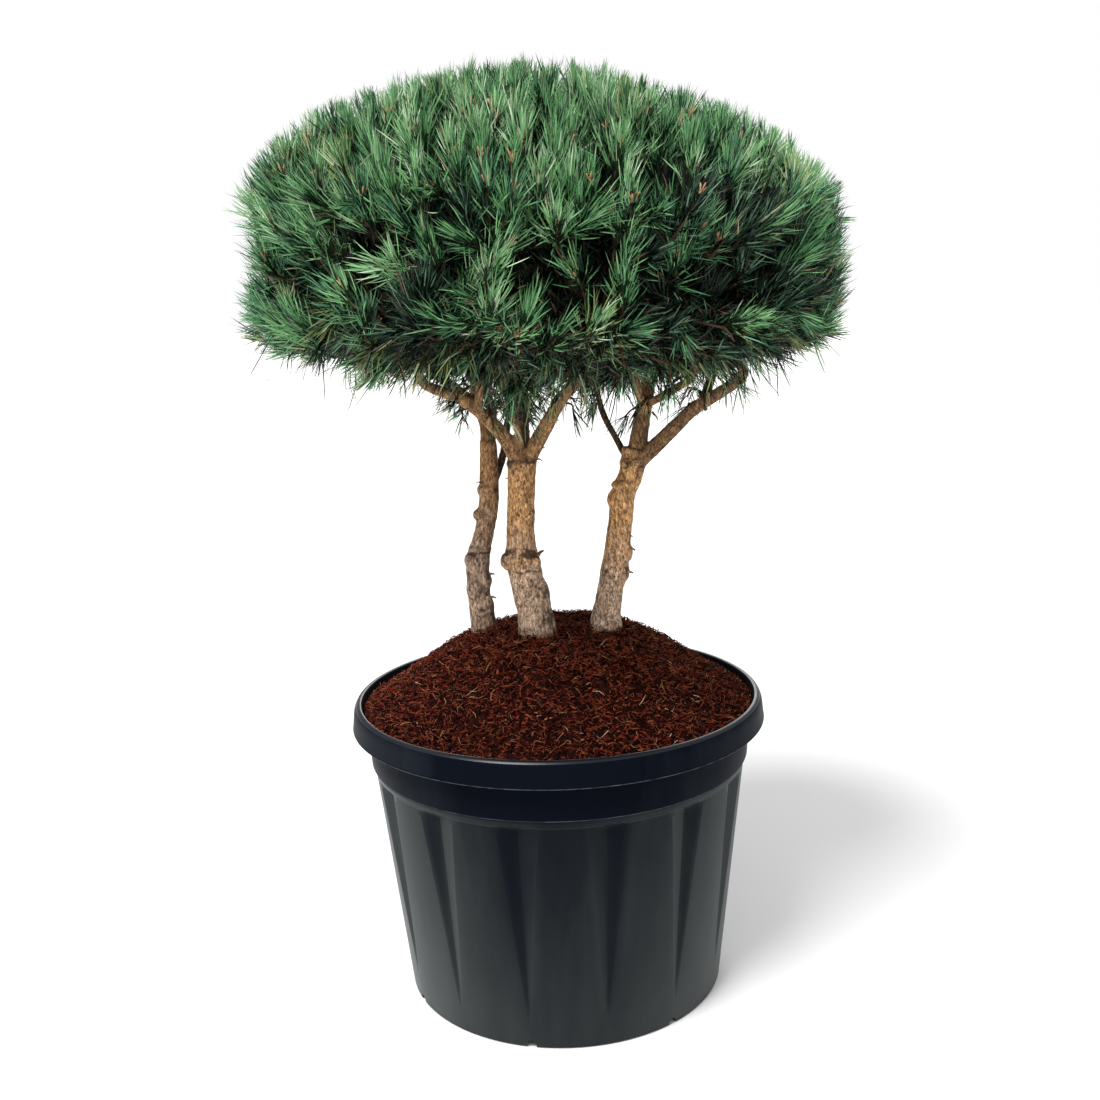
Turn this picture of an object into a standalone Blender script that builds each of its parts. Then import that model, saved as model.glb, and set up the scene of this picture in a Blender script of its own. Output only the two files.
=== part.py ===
"""A potted Scots pine: three leaning trunks under one broad crown, in a round grooved nursery pot.

Metres, +Z up. The origin is the centre of the pot's flat underside. +X is the right of the view from
the front, and the front faces -Y.
"""

import math
import random

import bmesh
import bpy
from mathutils import Matrix, Vector
from mathutils.bvhtree import BVHTree

# Clearance between neighbouring pieces
GAP = 0.0003

# Pot
POT_HEIGHT = 0.436
BASE_RADIUS = 0.233
PANEL_TOP_RADIUS = 0.2715
BAND_FOOT_RADIUS = 0.2755
BAND_TOP_RADIUS = 0.279
LIP_RADIUS = 0.300
RIM_TOP_RADIUS = 0.2965
RIM_INNER_RADIUS = 0.286
RIM_FOOT_RADIUS = 0.284
RIM_SHOULDER = 0.012
RIM_ROUNDING = 0.004
LEDGE_HEIGHT = 0.347
LEDGE_STEP = 0.002
LIP_HEIGHT = 0.400
WALL = 0.004
FLOOR = 0.006
GROOVES = 14
GROOVE_TURN = math.radians(-77.0)
GROOVE_HALF = math.radians(6.0)
GROOVE_HALF_AT_FOOT = math.radians(1.0)
GROOVE_DEPTH = 0.009
GROOVE_FOOT = 0.048
PANEL_STEPS = 3
NOTCH_RADIUS = 0.0075
NOTCH_RISE = 0.002
NOTCH_LENGTH = 0.030
NOTCH_SIDES = 10

# Mulch
MULCH_SIDES = 28
MULCH_EDGE_HEIGHT = 0.424
PLATEAU_RADIUS = 0.130
GROUND = 0.526
MOUND_STEPS = 3
MOUND_POWER = 1.1

# Trunks and boughs
TRUNK_SIDES = 10
BOUGH_SIDES = 6
RING_SPACING = 0.036
TAPER_POWER = 0.8

# Crown: a flat drum about its middle height, with a domed top and a bowed underside. Each is given as
# (height at the axis, share of it lost at the rim, power of that loss, share lost towards the right,
# power that rounds its corner)
CROWN_AXIS = 0.003
CROWN_MIDDLE = 1.0
CROWN_RADIUS = 0.407
CROWN_TOP = (0.302, 0.42, 1.8, 0.095, 8.0)
CROWN_UNDERSIDE = (0.134, 0.19, 1.8, -0.21, 3.1)

# Foliage masses in two rings with one on top
LOW_TURN = math.radians(-77.0)
LOW_RADIUS = 0.276
LOW_HEIGHT = 0.985
LOW_SIZE = 0.145
HIGH_TURN = math.radians(-51.0)
HIGH_RADIUS = 0.228
HIGH_HEIGHT = 1.122
HIGH_SIZE = 0.142
TOP_CENTRE = (0.0, 0.0, 1.188)
TOP_SIZE = 0.148
INNER_LEFT_CENTRE = (-0.050, -0.078, 0.905)
INNER_LEFT_SIZE = 0.070
INNER_RIGHT_CENTRE = (0.095, -0.085, 0.950)
INNER_RIGHT_SIZE = 0.075
CORE_WIDTH = 0.93
CORE_HEIGHT = 0.64
CORE_SHARE = 0.80
LEAST_CORE = 0.15
CORE_SHRINK = 0.88
CORE_ROUNDS = 12
SPACE_MARGIN = 0.0008
CORE_MARGIN = 0.012
LIMB_MARGIN = 0.004

# Stem of a mass: how far short of its centre the bough ends, as a length and as a share of its size,
# the least run worth adding to the bough, and the stem's own straight foot and taper
STEM_REACH = 0.085
STEM_SHARE = 0.62
LEAST_RUN = 0.012
STEM_FOOT = 0.020
STEM_TAPER = 0.6

# Sprays of needles
SPRAYS = {"low": 22, "high": 21, "top": 22, "inner": 8}
SPRAY_LENGTH = (0.050, 0.098)
SPRAY_ROOT = 0.020
SPRAY_RADIUS = 0.0060
SPRAY_LOW_RING = 0.16
SPRAY_HIGH_RING = 0.38
SPRAY_TAPER = 0.8
SPRAY_REACH = (0.93, 1.0)
SPRAY_SHRINK = 0.06
NEEDLE_SHARE = 0.62
NEEDLE_RISE = (0.55, 1.05)
UPWARD_PULL = 0.65
DOWNWARD_WAY = -0.3
DOWNWARD_PULL = -0.1
SWAY = 0.2
EXPOSED_SHARE = 0.60
FURTHEST_SHARE = 1.03
OUTSIDE = 0.5
TRIES = 7
SEED = 11

# Tips of the single long sprays that stand out past the crown's side
LONG_NEEDLE_SHARE = 0.40
LONG_SHARE = 1.12
LONG_SPRAYS = {
    "left_mass": [(-0.436, -0.010, 0.962)],
    "right_back_mass": [(0.441, 0.090, 1.066)],
}

# Colours and finishes
FINISHES = {
    "pot": ((0.016, 0.018, 0.022), 0.45),
    "mulch": ((0.085, 0.024, 0.012), 0.95),
    "bark": ((0.34, 0.19, 0.10), 0.90),
    "needles": ((0.045, 0.105, 0.050), 0.70),
}

# Each trunk: foot to top as (x, y, height, radius)
TRUNKS = {
    "centre_trunk": [
        (-0.025, -0.015, GROUND + GAP, 0.0275),
        (-0.030, -0.015, 0.565, 0.0255),
        (-0.039, -0.015, 0.610, 0.0240),
        (-0.044, -0.015, 0.640, 0.0260),
        (-0.045, -0.015, 0.665, 0.0205),
        (-0.042, -0.015, 0.730, 0.0195),
        (-0.038, -0.016, 0.785, 0.0225),
    ],
    "left_trunk": [
        (-0.104, 0.030, GROUND + GAP, 0.0200),
        (-0.110, 0.030, 0.575, 0.0170),
        (-0.110, 0.031, 0.625, 0.0178),
        (-0.099, 0.034, 0.670, 0.0145),
        (-0.090, 0.038, 0.720, 0.0155),
        (-0.088, 0.043, 0.800, 0.0125),
    ],
    "right_trunk": [
        (0.073, 0.0, GROUND + GAP, 0.0235),
        (0.078, 0.0, 0.565, 0.0195),
        (0.089, 0.0, 0.620, 0.0205),
        (0.098, 0.0, 0.680, 0.0175),
        (0.103, 0.0, 0.722, 0.0190),
        (0.115, 0.0, 0.752, 0.0175),
        (0.122, 0.0, 0.788, 0.0200),
    ],
}

# Each bough: the limb it springs from, its first and last radius, the mass it carries, and the points
# that its axis runs through from inside that limb
BOUGHS = {
    "centre_left_bough": ("centre_trunk", 0.0130, 0.0050, "left_front_mass", [
        (-0.040, -0.018, 0.772), (-0.067, -0.045, 0.822), (-0.109, -0.090, 0.869), (-0.159, -0.132, 0.897)]),
    "centre_right_bough": ("centre_trunk", 0.0130, 0.0055, "front_mass", [
        (-0.034, -0.018, 0.774), (-0.005, -0.040, 0.825), (0.019, -0.085, 0.869), (0.045, -0.130, 0.900)]),
    "centre_back_bough": ("centre_trunk", 0.0110, 0.0050, "top_mass", [
        (-0.037, -0.014, 0.776), (-0.036, 0.015, 0.839), (-0.034, 0.030, 0.900), (-0.018, 0.020, 1.030)]),
    "centre_front_bough": ("centre_trunk", 0.0070, 0.0040, "inner_left_mass", [
        (-0.040, -0.020, 0.778), (-0.042, -0.038, 0.815), (-0.046, -0.055, 0.842)]),
    "front_rising_bough": ("centre_left_bough", 0.0070, 0.0045, "high_front_left_mass", [
        (-0.095, -0.077, 0.858), (-0.085, -0.105, 0.915), (-0.068, -0.150, 1.000)]),
    "left_bough": ("left_trunk", 0.0105, 0.0050, "left_mass", [
        (-0.088, 0.043, 0.788), (-0.096, 0.050, 0.838), (-0.135, 0.046, 0.880), (-0.175, 0.030, 0.910)]),
    "left_back_bough": ("left_trunk", 0.0095, 0.0050, "left_back_mass", [
        (-0.087, 0.046, 0.790), (-0.084, 0.080, 0.845), (-0.110, 0.130, 0.900)]),
    "left_rising_bough": ("left_bough", 0.0080, 0.0045, "high_left_mass", [
        (-0.100, 0.050, 0.846), (-0.112, 0.030, 0.930), (-0.150, 0.000, 1.030)]),
    "left_rear_bough": ("left_trunk", 0.0068, 0.0045, "back_mass", [
        (-0.089, 0.040, 0.725), (-0.068, 0.068, 0.777), (-0.056, 0.100, 0.835), (-0.015, 0.160, 0.900)]),
    "back_rising_bough": ("left_back_bough", 0.0070, 0.0045, "high_back_left_mass", [
        (-0.090, 0.095, 0.861), (-0.080, 0.120, 0.940), (-0.100, 0.150, 1.030)]),
    "right_leader": ("right_trunk", 0.0145, 0.0060, "high_right_mass", [
        (0.122, 0.0, 0.774), (0.131, 0.0, 0.825), (0.142, 0.005, 0.876), (0.152, 0.020, 0.945),
        (0.165, 0.028, 1.020)]),
    "right_bough": ("right_trunk", 0.0125, 0.0065, "right_front_mass", [
        (0.124, -0.003, 0.768), (0.162, -0.020, 0.805), (0.203, -0.040, 0.846), (0.260, -0.072, 0.886)]),
    "right_upper_bough": ("right_leader", 0.0062, 0.0045, "high_front_right_mass", [
        (0.138, -0.002, 0.849), (0.175, -0.040, 0.873), (0.196, -0.090, 0.900), (0.180, -0.135, 0.975)]),
    "right_back_bough": ("right_bough", 0.0080, 0.0055, "right_back_mass", [
        (0.212, -0.045, 0.852), (0.226, -0.005, 0.874), (0.238, 0.030, 0.900)]),
    "right_thin_bough": ("right_trunk", 0.0055, 0.0040, "high_back_right_mass", [
        (0.116, 0.004, 0.762), (0.098, 0.035, 0.796), (0.077, 0.062, 0.842), (0.066, 0.110, 0.920),
        (0.068, 0.145, 1.000)]),
    "right_inner_bough": ("right_leader", 0.0070, 0.0040, "inner_right_mass", [
        (0.134, -0.001, 0.845), (0.121, -0.030, 0.883), (0.112, -0.052, 0.905)]),
}


def finish(name):
    """The finish of that name, made once."""
    if name in bpy.data.materials:
        return bpy.data.materials[name]
    colour, roughness = FINISHES[name]
    material = bpy.data.materials.new(name)
    material.use_nodes = True
    shader = material.node_tree.nodes["Principled BSDF"]
    shader.inputs["Base Color"].default_value = (*colour, 1.0)
    shader.inputs["Roughness"].default_value = roughness
    shader.inputs["Metallic"].default_value = 0.0
    return material


def add_object(name, mesh_data, finish_name=None):
    """Link a mesh from bmesh data as one object."""
    mesh = bpy.data.meshes.new(name)
    bmesh.ops.recalc_face_normals(mesh_data, faces=mesh_data.faces)
    mesh_data.to_mesh(mesh)
    mesh_data.free()
    obj = bpy.data.objects.new(name, mesh)
    bpy.context.scene.collection.objects.link(obj)
    if finish_name:
        mesh.materials.append(finish(finish_name))
    return obj


def remove(obj):
    """Delete an object and its mesh."""
    mesh = obj.data
    bpy.data.objects.remove(obj)
    bpy.data.meshes.remove(mesh)


def main_body(mesh_data):
    """Keep only the largest connected body of the mesh."""
    unseen = set(mesh_data.verts)
    bodies = []
    while unseen:
        body = {unseen.pop()}
        edge_of_body = list(body)
        while edge_of_body:
            vert = edge_of_body.pop()
            for edge in vert.link_edges:
                other = edge.other_vert(vert)
                if other not in body:
                    body.add(other)
                    edge_of_body.append(other)
        unseen -= body
        bodies.append(body)
    bodies.sort(key=len)
    loose = [vert for body in bodies[:-1] for vert in body]
    bmesh.ops.delete(mesh_data, geom=loose, context="VERTS")


def join_or_cut(obj, others, operation):
    """Apply one Boolean between an object and a collection of others, which are then removed."""
    group = bpy.data.collections.new("operands")
    bpy.context.scene.collection.children.link(group)
    for other in others:
        bpy.context.scene.collection.objects.unlink(other)
        group.objects.link(other)
    boolean = obj.modifiers.new("boolean", "BOOLEAN")
    boolean.operation = operation
    boolean.operand_type = "COLLECTION"
    boolean.collection = group
    boolean.solver = "EXACT"
    depsgraph = bpy.context.evaluated_depsgraph_get()
    result = bmesh.new()
    result.from_mesh(obj.evaluated_get(depsgraph).to_mesh())
    main_body(result)
    bmesh.ops.triangulate(result, faces=result.faces)
    obj.modifiers.remove(boolean)
    result.to_mesh(obj.data)
    result.free()
    for other in others:
        remove(other)
    bpy.data.collections.remove(group)


def bridge(mesh_data, low, high):
    """Join two rings of as many vertices with a band of quads."""
    count = len(low)
    for i in range(count):
        j = (i + 1) % count
        mesh_data.faces.new((low[i], low[j], high[j], high[i]))


def groove_angles(half):
    """One turn of angles: the sides and foot of each groove, and even steps across each panel."""
    pitch = math.tau / GROOVES
    panel = pitch - 2.0 * half
    offsets = [-half, 0.0, half] + [half + panel * k / PANEL_STEPS for k in range(1, PANEL_STEPS)]
    return [GROOVE_TURN + k * pitch + offset for k in range(GROOVES) for offset in offsets]


def pot_ring(mesh_data, radius, height, depth=0.0, half=GROOVE_HALF):
    """A ring of the pot's wall, pushed in by depth along the foot of each groove."""
    per_pitch = 2 + PANEL_STEPS
    ring = []
    for i, angle in enumerate(groove_angles(half)):
        reach = radius - depth if i % per_pitch == 1 else radius
        ring.append(mesh_data.verts.new((reach * math.cos(angle), reach * math.sin(angle), height)))
    return ring


def panel_radius(height):
    """Radius of the wall's outside at a height between the base and the ledge."""
    return BASE_RADIUS + (PANEL_TOP_RADIUS - BASE_RADIUS) * height / LEDGE_HEIGHT


def wall_inside():
    """The wall's inside from the rim down to the ledge, as (radius, height)."""
    return [
        (RIM_INNER_RADIUS, POT_HEIGHT),
        (RIM_FOOT_RADIUS, LIP_HEIGHT + RIM_SHOULDER),
        (BAND_TOP_RADIUS - WALL, LIP_HEIGHT),
        (PANEL_TOP_RADIUS - WALL, LEDGE_HEIGHT),
    ]


def make_pot():
    """The pot's shell with its grooves, band, lip and drainage notches."""
    shell = bmesh.new()
    foot_half = GROOVE_HALF_AT_FOOT
    groove_top = LEDGE_HEIGHT - 2.0 * LEDGE_STEP
    rounded = RIM_ROUNDING
    outline = [
        (BASE_RADIUS, 0.0, 0.0, foot_half),
        (panel_radius(GROOVE_FOOT), GROOVE_FOOT, 0.0, foot_half),
        (panel_radius(groove_top), groove_top, GROOVE_DEPTH, GROOVE_HALF),
        (PANEL_TOP_RADIUS, LEDGE_HEIGHT - LEDGE_STEP, 0.0, GROOVE_HALF),
        (BAND_FOOT_RADIUS, LEDGE_HEIGHT, 0.0, GROOVE_HALF),
        (BAND_TOP_RADIUS, LIP_HEIGHT + rounded, 0.0, GROOVE_HALF),
        (LIP_RADIUS, LIP_HEIGHT, 0.0, GROOVE_HALF),
        (RIM_TOP_RADIUS, POT_HEIGHT - rounded, 0.0, GROOVE_HALF),
        (RIM_TOP_RADIUS - rounded, POT_HEIGHT, 0.0, GROOVE_HALF),
        *[(radius, height, 0.0, GROOVE_HALF) for radius, height in wall_inside()],
        (panel_radius(groove_top) - WALL, groove_top, GROOVE_DEPTH, GROOVE_HALF),
        (panel_radius(GROOVE_FOOT) - WALL, GROOVE_FOOT, 0.0, foot_half),
        (panel_radius(FLOOR) - WALL, FLOOR, 0.0, foot_half),
    ]
    rings = [pot_ring(shell, *row) for row in outline]
    for low, high in zip(rings, rings[1:]):
        bridge(shell, low, high)
    for ring, height in ((rings[0], 0.0), (rings[-1], FLOOR)):
        middle = shell.verts.new((0.0, 0.0, height))
        for i, vert in enumerate(ring):
            shell.faces.new((vert, ring[(i + 1) % len(ring)], middle))
    pot = add_object("pot", shell, "pot")
    join_or_cut(pot, [notch_cutter(k) for k in range(GROOVES // 2)], "DIFFERENCE")
    pot.data.shade_smooth()
    pot.data.set_sharp_from_angle(angle=math.radians(30.0))


def notch_cutter(index):
    """A round-topped cutter for one drainage notch, under every second groove."""
    angle = GROOVE_TURN - math.tau / GROOVES + index * 2.0 * math.tau / GROOVES
    reach = BASE_RADIUS
    place = (
        Matrix.Rotation(angle, 4, "Z")
        @ Matrix.Translation((reach, 0.0, NOTCH_RISE))
        @ Matrix.Rotation(math.pi / 2.0, 4, "Y")
    )
    tool = bmesh.new()
    bmesh.ops.create_cone(
        tool, cap_ends=True, segments=NOTCH_SIDES, radius1=NOTCH_RADIUS, radius2=NOTCH_RADIUS,
        depth=NOTCH_LENGTH, matrix=place)
    return add_object("notch_cutter", tool)


def make_mulch():
    """The mulch that fills the pot and mounds up to the trunks' feet."""
    fill = bmesh.new()
    thick = WALL + GROOVE_DEPTH + GAP
    edge_radius = RIM_FOOT_RADIUS - GAP
    outline = [
        (panel_radius(FLOOR) - thick, FLOOR + GAP),
        (PANEL_TOP_RADIUS - thick, LEDGE_HEIGHT - LEDGE_STEP),
        (PANEL_TOP_RADIUS - WALL - GAP, LEDGE_HEIGHT + GAP),
        (BAND_TOP_RADIUS - WALL - GAP, LIP_HEIGHT + GAP),
        (edge_radius, LIP_HEIGHT + RIM_SHOULDER + GAP),
        (edge_radius, MULCH_EDGE_HEIGHT),
    ]
    for k in range(1, MOUND_STEPS + 1):
        share = k / MOUND_STEPS
        radius = edge_radius + (PLATEAU_RADIUS - edge_radius) * share
        rise = math.sin(share * math.pi / 2.0) ** MOUND_POWER
        outline.append((radius, MULCH_EDGE_HEIGHT + (GROUND - MULCH_EDGE_HEIGHT) * rise))
    rings = []
    for radius, height in outline:
        turn = [math.tau * k / MULCH_SIDES for k in range(MULCH_SIDES)]
        rings.append([fill.verts.new((radius * math.cos(a), radius * math.sin(a), height)) for a in turn])
    for low, high in zip(rings, rings[1:]):
        bridge(fill, low, high)
    fill.faces.new(rings[0])
    fill.faces.new(rings[-1])
    bmesh.ops.triangulate(fill, faces=fill.faces)
    mulch = add_object("mulch", fill, "mulch")
    mulch.data.shade_smooth()


def curve_through(points, spacing):
    """Points at even steps along a smooth curve through the given ones, each with its share of the way."""
    path = [Vector(p) for p in points]
    path = [2.0 * path[0] - path[1]] + path + [2.0 * path[-1] - path[-2]]
    found = []
    spans = len(path) - 3
    for i in range(spans):
        a, b, c, d = path[i:i + 4]
        steps = max(1, round((c - b).length / spacing))
        for k in range(steps):
            t = k / steps
            point = 0.5 * (2.0 * b + (c - a) * t + (2.0 * a - 5.0 * b + 4.0 * c - d) * t * t
                           + (3.0 * b - a - 3.0 * c + d) * t ** 3)
            found.append((point, (i + t) / spans))
    found.append((path[-2].copy(), 1.0))
    return found


def tube(points, radii, sides, extra=0.0, flat_foot=False):
    """A tapering closed limb round a path of points, larger all over by extra."""
    limb = bmesh.new()
    widen = extra / math.cos(math.pi / sides)
    side_way = Vector((1.0, 0.0, 0.0))
    rings = []
    last = len(points) - 1
    for i, point in enumerate(points):
        along = (points[min(i + 1, last)] - points[max(i - 1, 0)]).normalized()
        if flat_foot and i == 0:
            along = Vector((0.0, 0.0, 1.0))
        side_way = (side_way - along * side_way.dot(along)).normalized()
        other_way = along.cross(side_way)
        centre = point
        if i == 0:
            centre = point - along * extra
        if i == last:
            centre = point + along * extra
        reach = radii[i] + widen
        rings.append([
            limb.verts.new(centre + reach * (math.cos(a) * side_way + math.sin(a) * other_way))
            for a in (math.tau * k / sides for k in range(sides))])
    for low, high in zip(rings, rings[1:]):
        bridge(limb, low, high)
    limb.faces.new(rings[0])
    limb.faces.new(rings[-1])
    bmesh.ops.triangulate(limb, faces=limb.faces)
    return limb


def trunk_shape(name, extra=0.0):
    """A trunk's mesh, larger all over by extra."""
    stations = TRUNKS[name]
    path = curve_through([s[:3] for s in stations], RING_SPACING)
    spans = len(stations) - 1
    radii = []
    for _point, share in path:
        i = min(int(share * spans), spans - 1)
        part = share * spans - i
        radii.append(stations[i][3] * (1.0 - part) + stations[i + 1][3] * part)
    return tube([p for p, _share in path], radii, TRUNK_SIDES, extra, flat_foot=True)


def bough_path(name):
    """A bough's axis, run on to just short of its mass, and its radii."""
    _parent, first, final, mass, points = BOUGHS[name]
    centre = MASSES[mass]["centre"]
    last = Vector(points[-1])
    way = (centre - last).normalized()
    reach = min(STEM_REACH, STEM_SHARE * MASSES[mass]["size"])
    tip = centre - way * reach
    onward = list(points)
    if (tip - last).dot(way) > LEAST_RUN:
        onward.append(tuple(tip))
    path = curve_through(onward, RING_SPACING)
    radii = [first + (final - first) * share ** TAPER_POWER for _point, share in path]
    return [p for p, _share in path], radii


def limb_shape(name, extra=0.0):
    """Any trunk's or bough's mesh, larger all over by extra."""
    if name in TRUNKS:
        return trunk_shape(name, extra)
    points, radii = bough_path(name)
    return tube(points, radii, BOUGH_SIDES, extra)


def make_limbs():
    """Trunks, then boughs, each bough cut clear of the limb it springs from and of those beside it."""
    made = []
    for name in list(TRUNKS) + list(BOUGHS):
        limb = add_object(name, limb_shape(name), "bark")
        if name in BOUGHS:
            parent = BOUGHS[name][0]
            beside = [parent] + [other for other in made if other in BOUGHS and BOUGHS[other][0] == parent]
            join_or_cut(limb, [add_object("clear_" + b, limb_shape(b, GAP)) for b in beside], "DIFFERENCE")
        limb.data.shade_smooth()
        limb.data.set_sharp_from_angle(angle=math.radians(50.0))
        made.append(name)


def ring_of_masses(names, turn, radius, height, size, kind):
    """Masses evenly round the crown, named in order."""
    ring = {}
    for k, name in enumerate(names):
        angle = turn + k * math.tau / len(names)
        centre = Vector((radius * math.cos(angle), radius * math.sin(angle), height))
        ring[name] = {"centre": centre, "size": size, "kind": kind}
    return ring


def lay_out_masses():
    """Every foliage mass with its centre and size."""
    low_names = ["front_mass", "right_front_mass", "right_back_mass", "back_mass", "left_back_mass",
                 "left_mass", "left_front_mass"]
    high_names = ["high_front_right_mass", "high_right_mass", "high_back_right_mass",
                  "high_back_left_mass", "high_left_mass", "high_front_left_mass"]
    masses = ring_of_masses(low_names, LOW_TURN, LOW_RADIUS, LOW_HEIGHT, LOW_SIZE, "low")
    masses.update(ring_of_masses(high_names, HIGH_TURN, HIGH_RADIUS, HIGH_HEIGHT, HIGH_SIZE, "high"))
    masses["top_mass"] = {"centre": Vector(TOP_CENTRE), "size": TOP_SIZE, "kind": "top"}
    for name, centre, size in (("inner_left_mass", INNER_LEFT_CENTRE, INNER_LEFT_SIZE),
                               ("inner_right_mass", INNER_RIGHT_CENTRE, INNER_RIGHT_SIZE)):
        masses[name] = {"centre": Vector(centre), "size": size, "kind": "inner"}
    return masses


MASSES = lay_out_masses()


def sides_of_space(name):
    """The flat sides of one mass's own space, halfway to each neighbour as weighed by their sizes."""
    own = MASSES[name]
    sides = []
    for other_name, other in MASSES.items():
        if other_name == name:
            continue
        way = other["centre"] - own["centre"]
        distance = way.length
        offset = (distance ** 2 + own["size"] ** 2 - other["size"] ** 2) / (2.0 * distance)
        sides.append((way / distance, offset))
    return sides


def crown_share(point):
    """How far out a point lies: 1 on the crown's outer surface."""
    rise = point.z - CROWN_MIDDLE
    height, loss, loss_power, lean, corner = CROWN_TOP if rise > 0.0 else CROWN_UNDERSIDE
    out = math.hypot(point.x - CROWN_AXIS, point.y) / CROWN_RADIUS
    right = max(-1.0, min(1.0, (point.x - CROWN_AXIS) / CROWN_RADIUS))
    full = height * (1.0 - loss * min(out, 1.0) ** loss_power) * (1.0 - lean * right)
    return (out ** corner + (abs(rise) / full) ** corner) ** (1.0 / corner)


def reach_to_crown(start, way, limit, share=1.0):
    """Distance from a point along a way to the crown's outer surface, or to a share of its size."""
    near, far = 0.0, limit
    if crown_share(start + way * far) < share:
        return far
    for _step in range(12):
        middle = 0.5 * (near + far)
        if crown_share(start + way * middle) < share:
            near = middle
        else:
            far = middle
    return near


def in_space(point, centre, sides, margin):
    """Whether a point keeps inside a mass's sides."""
    return all((point - centre).dot(way) <= offset - margin for way, offset in sides)


def make_core(name, limbs):
    """The dense inside of a mass: a rounded lump kept inside its sides and clear of every limb."""
    mass = MASSES[name]
    centre, size, sides = mass["centre"], mass["size"], sides_of_space(name)
    core = bmesh.new()
    bmesh.ops.create_icosphere(core, subdivisions=2, radius=1.0)
    for vert in core.verts:
        way = vert.co.normalized()
        reach = 1.0 / math.sqrt((way.x ** 2 + way.y ** 2) / (CORE_WIDTH * size) ** 2
                                + way.z ** 2 / (CORE_HEIGHT * size) ** 2)
        for side, offset in sides:
            slope = way.dot(side)
            if slope > 0.0:
                reach = min(reach, (offset - CORE_MARGIN) / slope)
        reach = min(reach, reach_to_crown(centre, way, reach, CORE_SHARE))
        hit = limbs.ray_cast(centre, way, reach + LIMB_MARGIN)
        if hit[0] is not None:
            reach = min(reach, max(hit[3] - LIMB_MARGIN, LEAST_CORE * reach))
        vert.co = centre + way * reach
    for _round in range(CORE_ROUNDS):
        touching = {face for face, _limb in BVHTree.FromBMesh(core).overlap(limbs)}
        if not touching:
            break
        core.faces.ensure_lookup_table()
        for vert in {v for face in touching for v in core.faces[face].verts}:
            vert.co = centre + (vert.co - centre) * CORE_SHRINK
    return core


def spray_shape(root, way, length, spin, rng, needle_share=NEEDLE_SHARE):
    """A spray: a slim three-sided core with a needle standing out of each side and one at its tip."""
    side_way = way.orthogonal().normalized()
    other_way = way.cross(side_way)

    def at(height, radius, turn):
        return root + way * height + radius * (math.cos(turn) * side_way + math.sin(turn) * other_way)

    spray = bmesh.new()
    third = math.tau / 3.0
    foot = spray.verts.new(root - way * SPRAY_ROOT)
    low = [spray.verts.new(at(SPRAY_LOW_RING * length, SPRAY_RADIUS, spin + k * third)) for k in range(3)]
    slim = SPRAY_TAPER * SPRAY_RADIUS
    high = [spray.verts.new(at(SPRAY_HIGH_RING * length, slim, spin + (k + 0.5) * third)) for k in range(3)]
    tip = spray.verts.new(root + way * length)
    for k in range(3):
        j = (k + 1) % 3
        spray.faces.new((foot, low[j], low[k]))
        spray.faces.new((high[k], high[j], tip))
        for corners in ((low[k], low[j], high[k]), (high[k], low[j], high[j])):
            middle = (corners[0].co + corners[1].co + corners[2].co) / 3.0
            outward = middle - root
            outward = (outward - way * outward.dot(way)).normalized()
            rise = rng.uniform(*NEEDLE_RISE)
            point = middle + needle_share * length * (math.cos(rise) * outward + math.sin(rise) * way)
            end = spray.verts.new(point)
            for a, b in ((0, 1), (1, 2), (2, 0)):
                spray.faces.new((corners[a], corners[b], end))
    bmesh.ops.recalc_face_normals(spray, faces=spray.faces)
    return spray


def spray_fits(spray, centre, sides, limbs, others, furthest=FURTHEST_SHARE):
    """Whether a spray keeps to its mass's space and the crown, and touches no limb or other spray."""
    for vert in spray.verts:
        if not in_space(vert.co, centre, sides, SPACE_MARGIN) or crown_share(vert.co) > furthest:
            return False
    tree = BVHTree.FromBMesh(spray)
    return not tree.overlap(limbs) and not any(tree.overlap(other) for other in others)


def make_sprays(name, core, limbs):
    """Sprays round a mass's core, pulled upward, that reach the crown's surface where they can."""
    mass = MASSES[name]
    centre, sides = mass["centre"], sides_of_space(name)
    surface = BVHTree.FromBMesh(core)
    rng = random.Random(SEED + sum(ord(letter) for letter in name))
    wanted = SPRAYS[mass["kind"]]
    candidates = 3 * wanted
    made, trees = [], []
    for tip in LONG_SPRAYS.get(name, []):
        tip = Vector(tip)
        way = (tip - centre).normalized()
        root, _normal, _face, _distance = surface.ray_cast(tip, -way)
        spray = spray_shape(root, way, (tip - root).length, 0.0, rng, LONG_NEEDLE_SHARE)
        if spray_fits(spray, centre, sides, limbs, trees, LONG_SHARE):
            trees.append(BVHTree.FromBMesh(spray))
            made.append(add_object("spray", spray))
    order = list(range(candidates))
    rng.shuffle(order)
    for k in order:
        if len(made) >= wanted:
            break
        height = 1.0 - 2.0 * (k + 0.5) / candidates
        turn = k * math.pi * (3.0 - math.sqrt(5.0))
        ring = math.sqrt(1.0 - height * height)
        way = Vector((ring * math.cos(turn), ring * math.sin(turn), height))
        root, _normal, _face, _distance = surface.ray_cast(centre + way * OUTSIDE, -way)
        if root is None or (crown_share(root) < EXPOSED_SHARE and mass["kind"] != "inner"):
            continue
        pull = UPWARD_PULL if way.z > DOWNWARD_WAY else DOWNWARD_PULL
        for attempt in range(TRIES):
            lean = Vector([rng.uniform(-SWAY, SWAY) for _axis in range(3)])
            growth = (way + Vector((0.0, 0.0, pull)) + lean).normalized()
            share = rng.uniform(*SPRAY_REACH) * (1.0 - SPRAY_SHRINK * attempt)
            length = share * min(reach_to_crown(root, growth, SPRAY_LENGTH[1]), SPRAY_LENGTH[1])
            length = max(length, SPRAY_LENGTH[0])
            spray = spray_shape(root, growth, length, rng.uniform(0.0, math.tau), rng)
            if spray_fits(spray, centre, sides, limbs, trees):
                trees.append(BVHTree.FromBMesh(spray))
                made.append(add_object("spray", spray))
                break
            spray.free()
    return made


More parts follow.
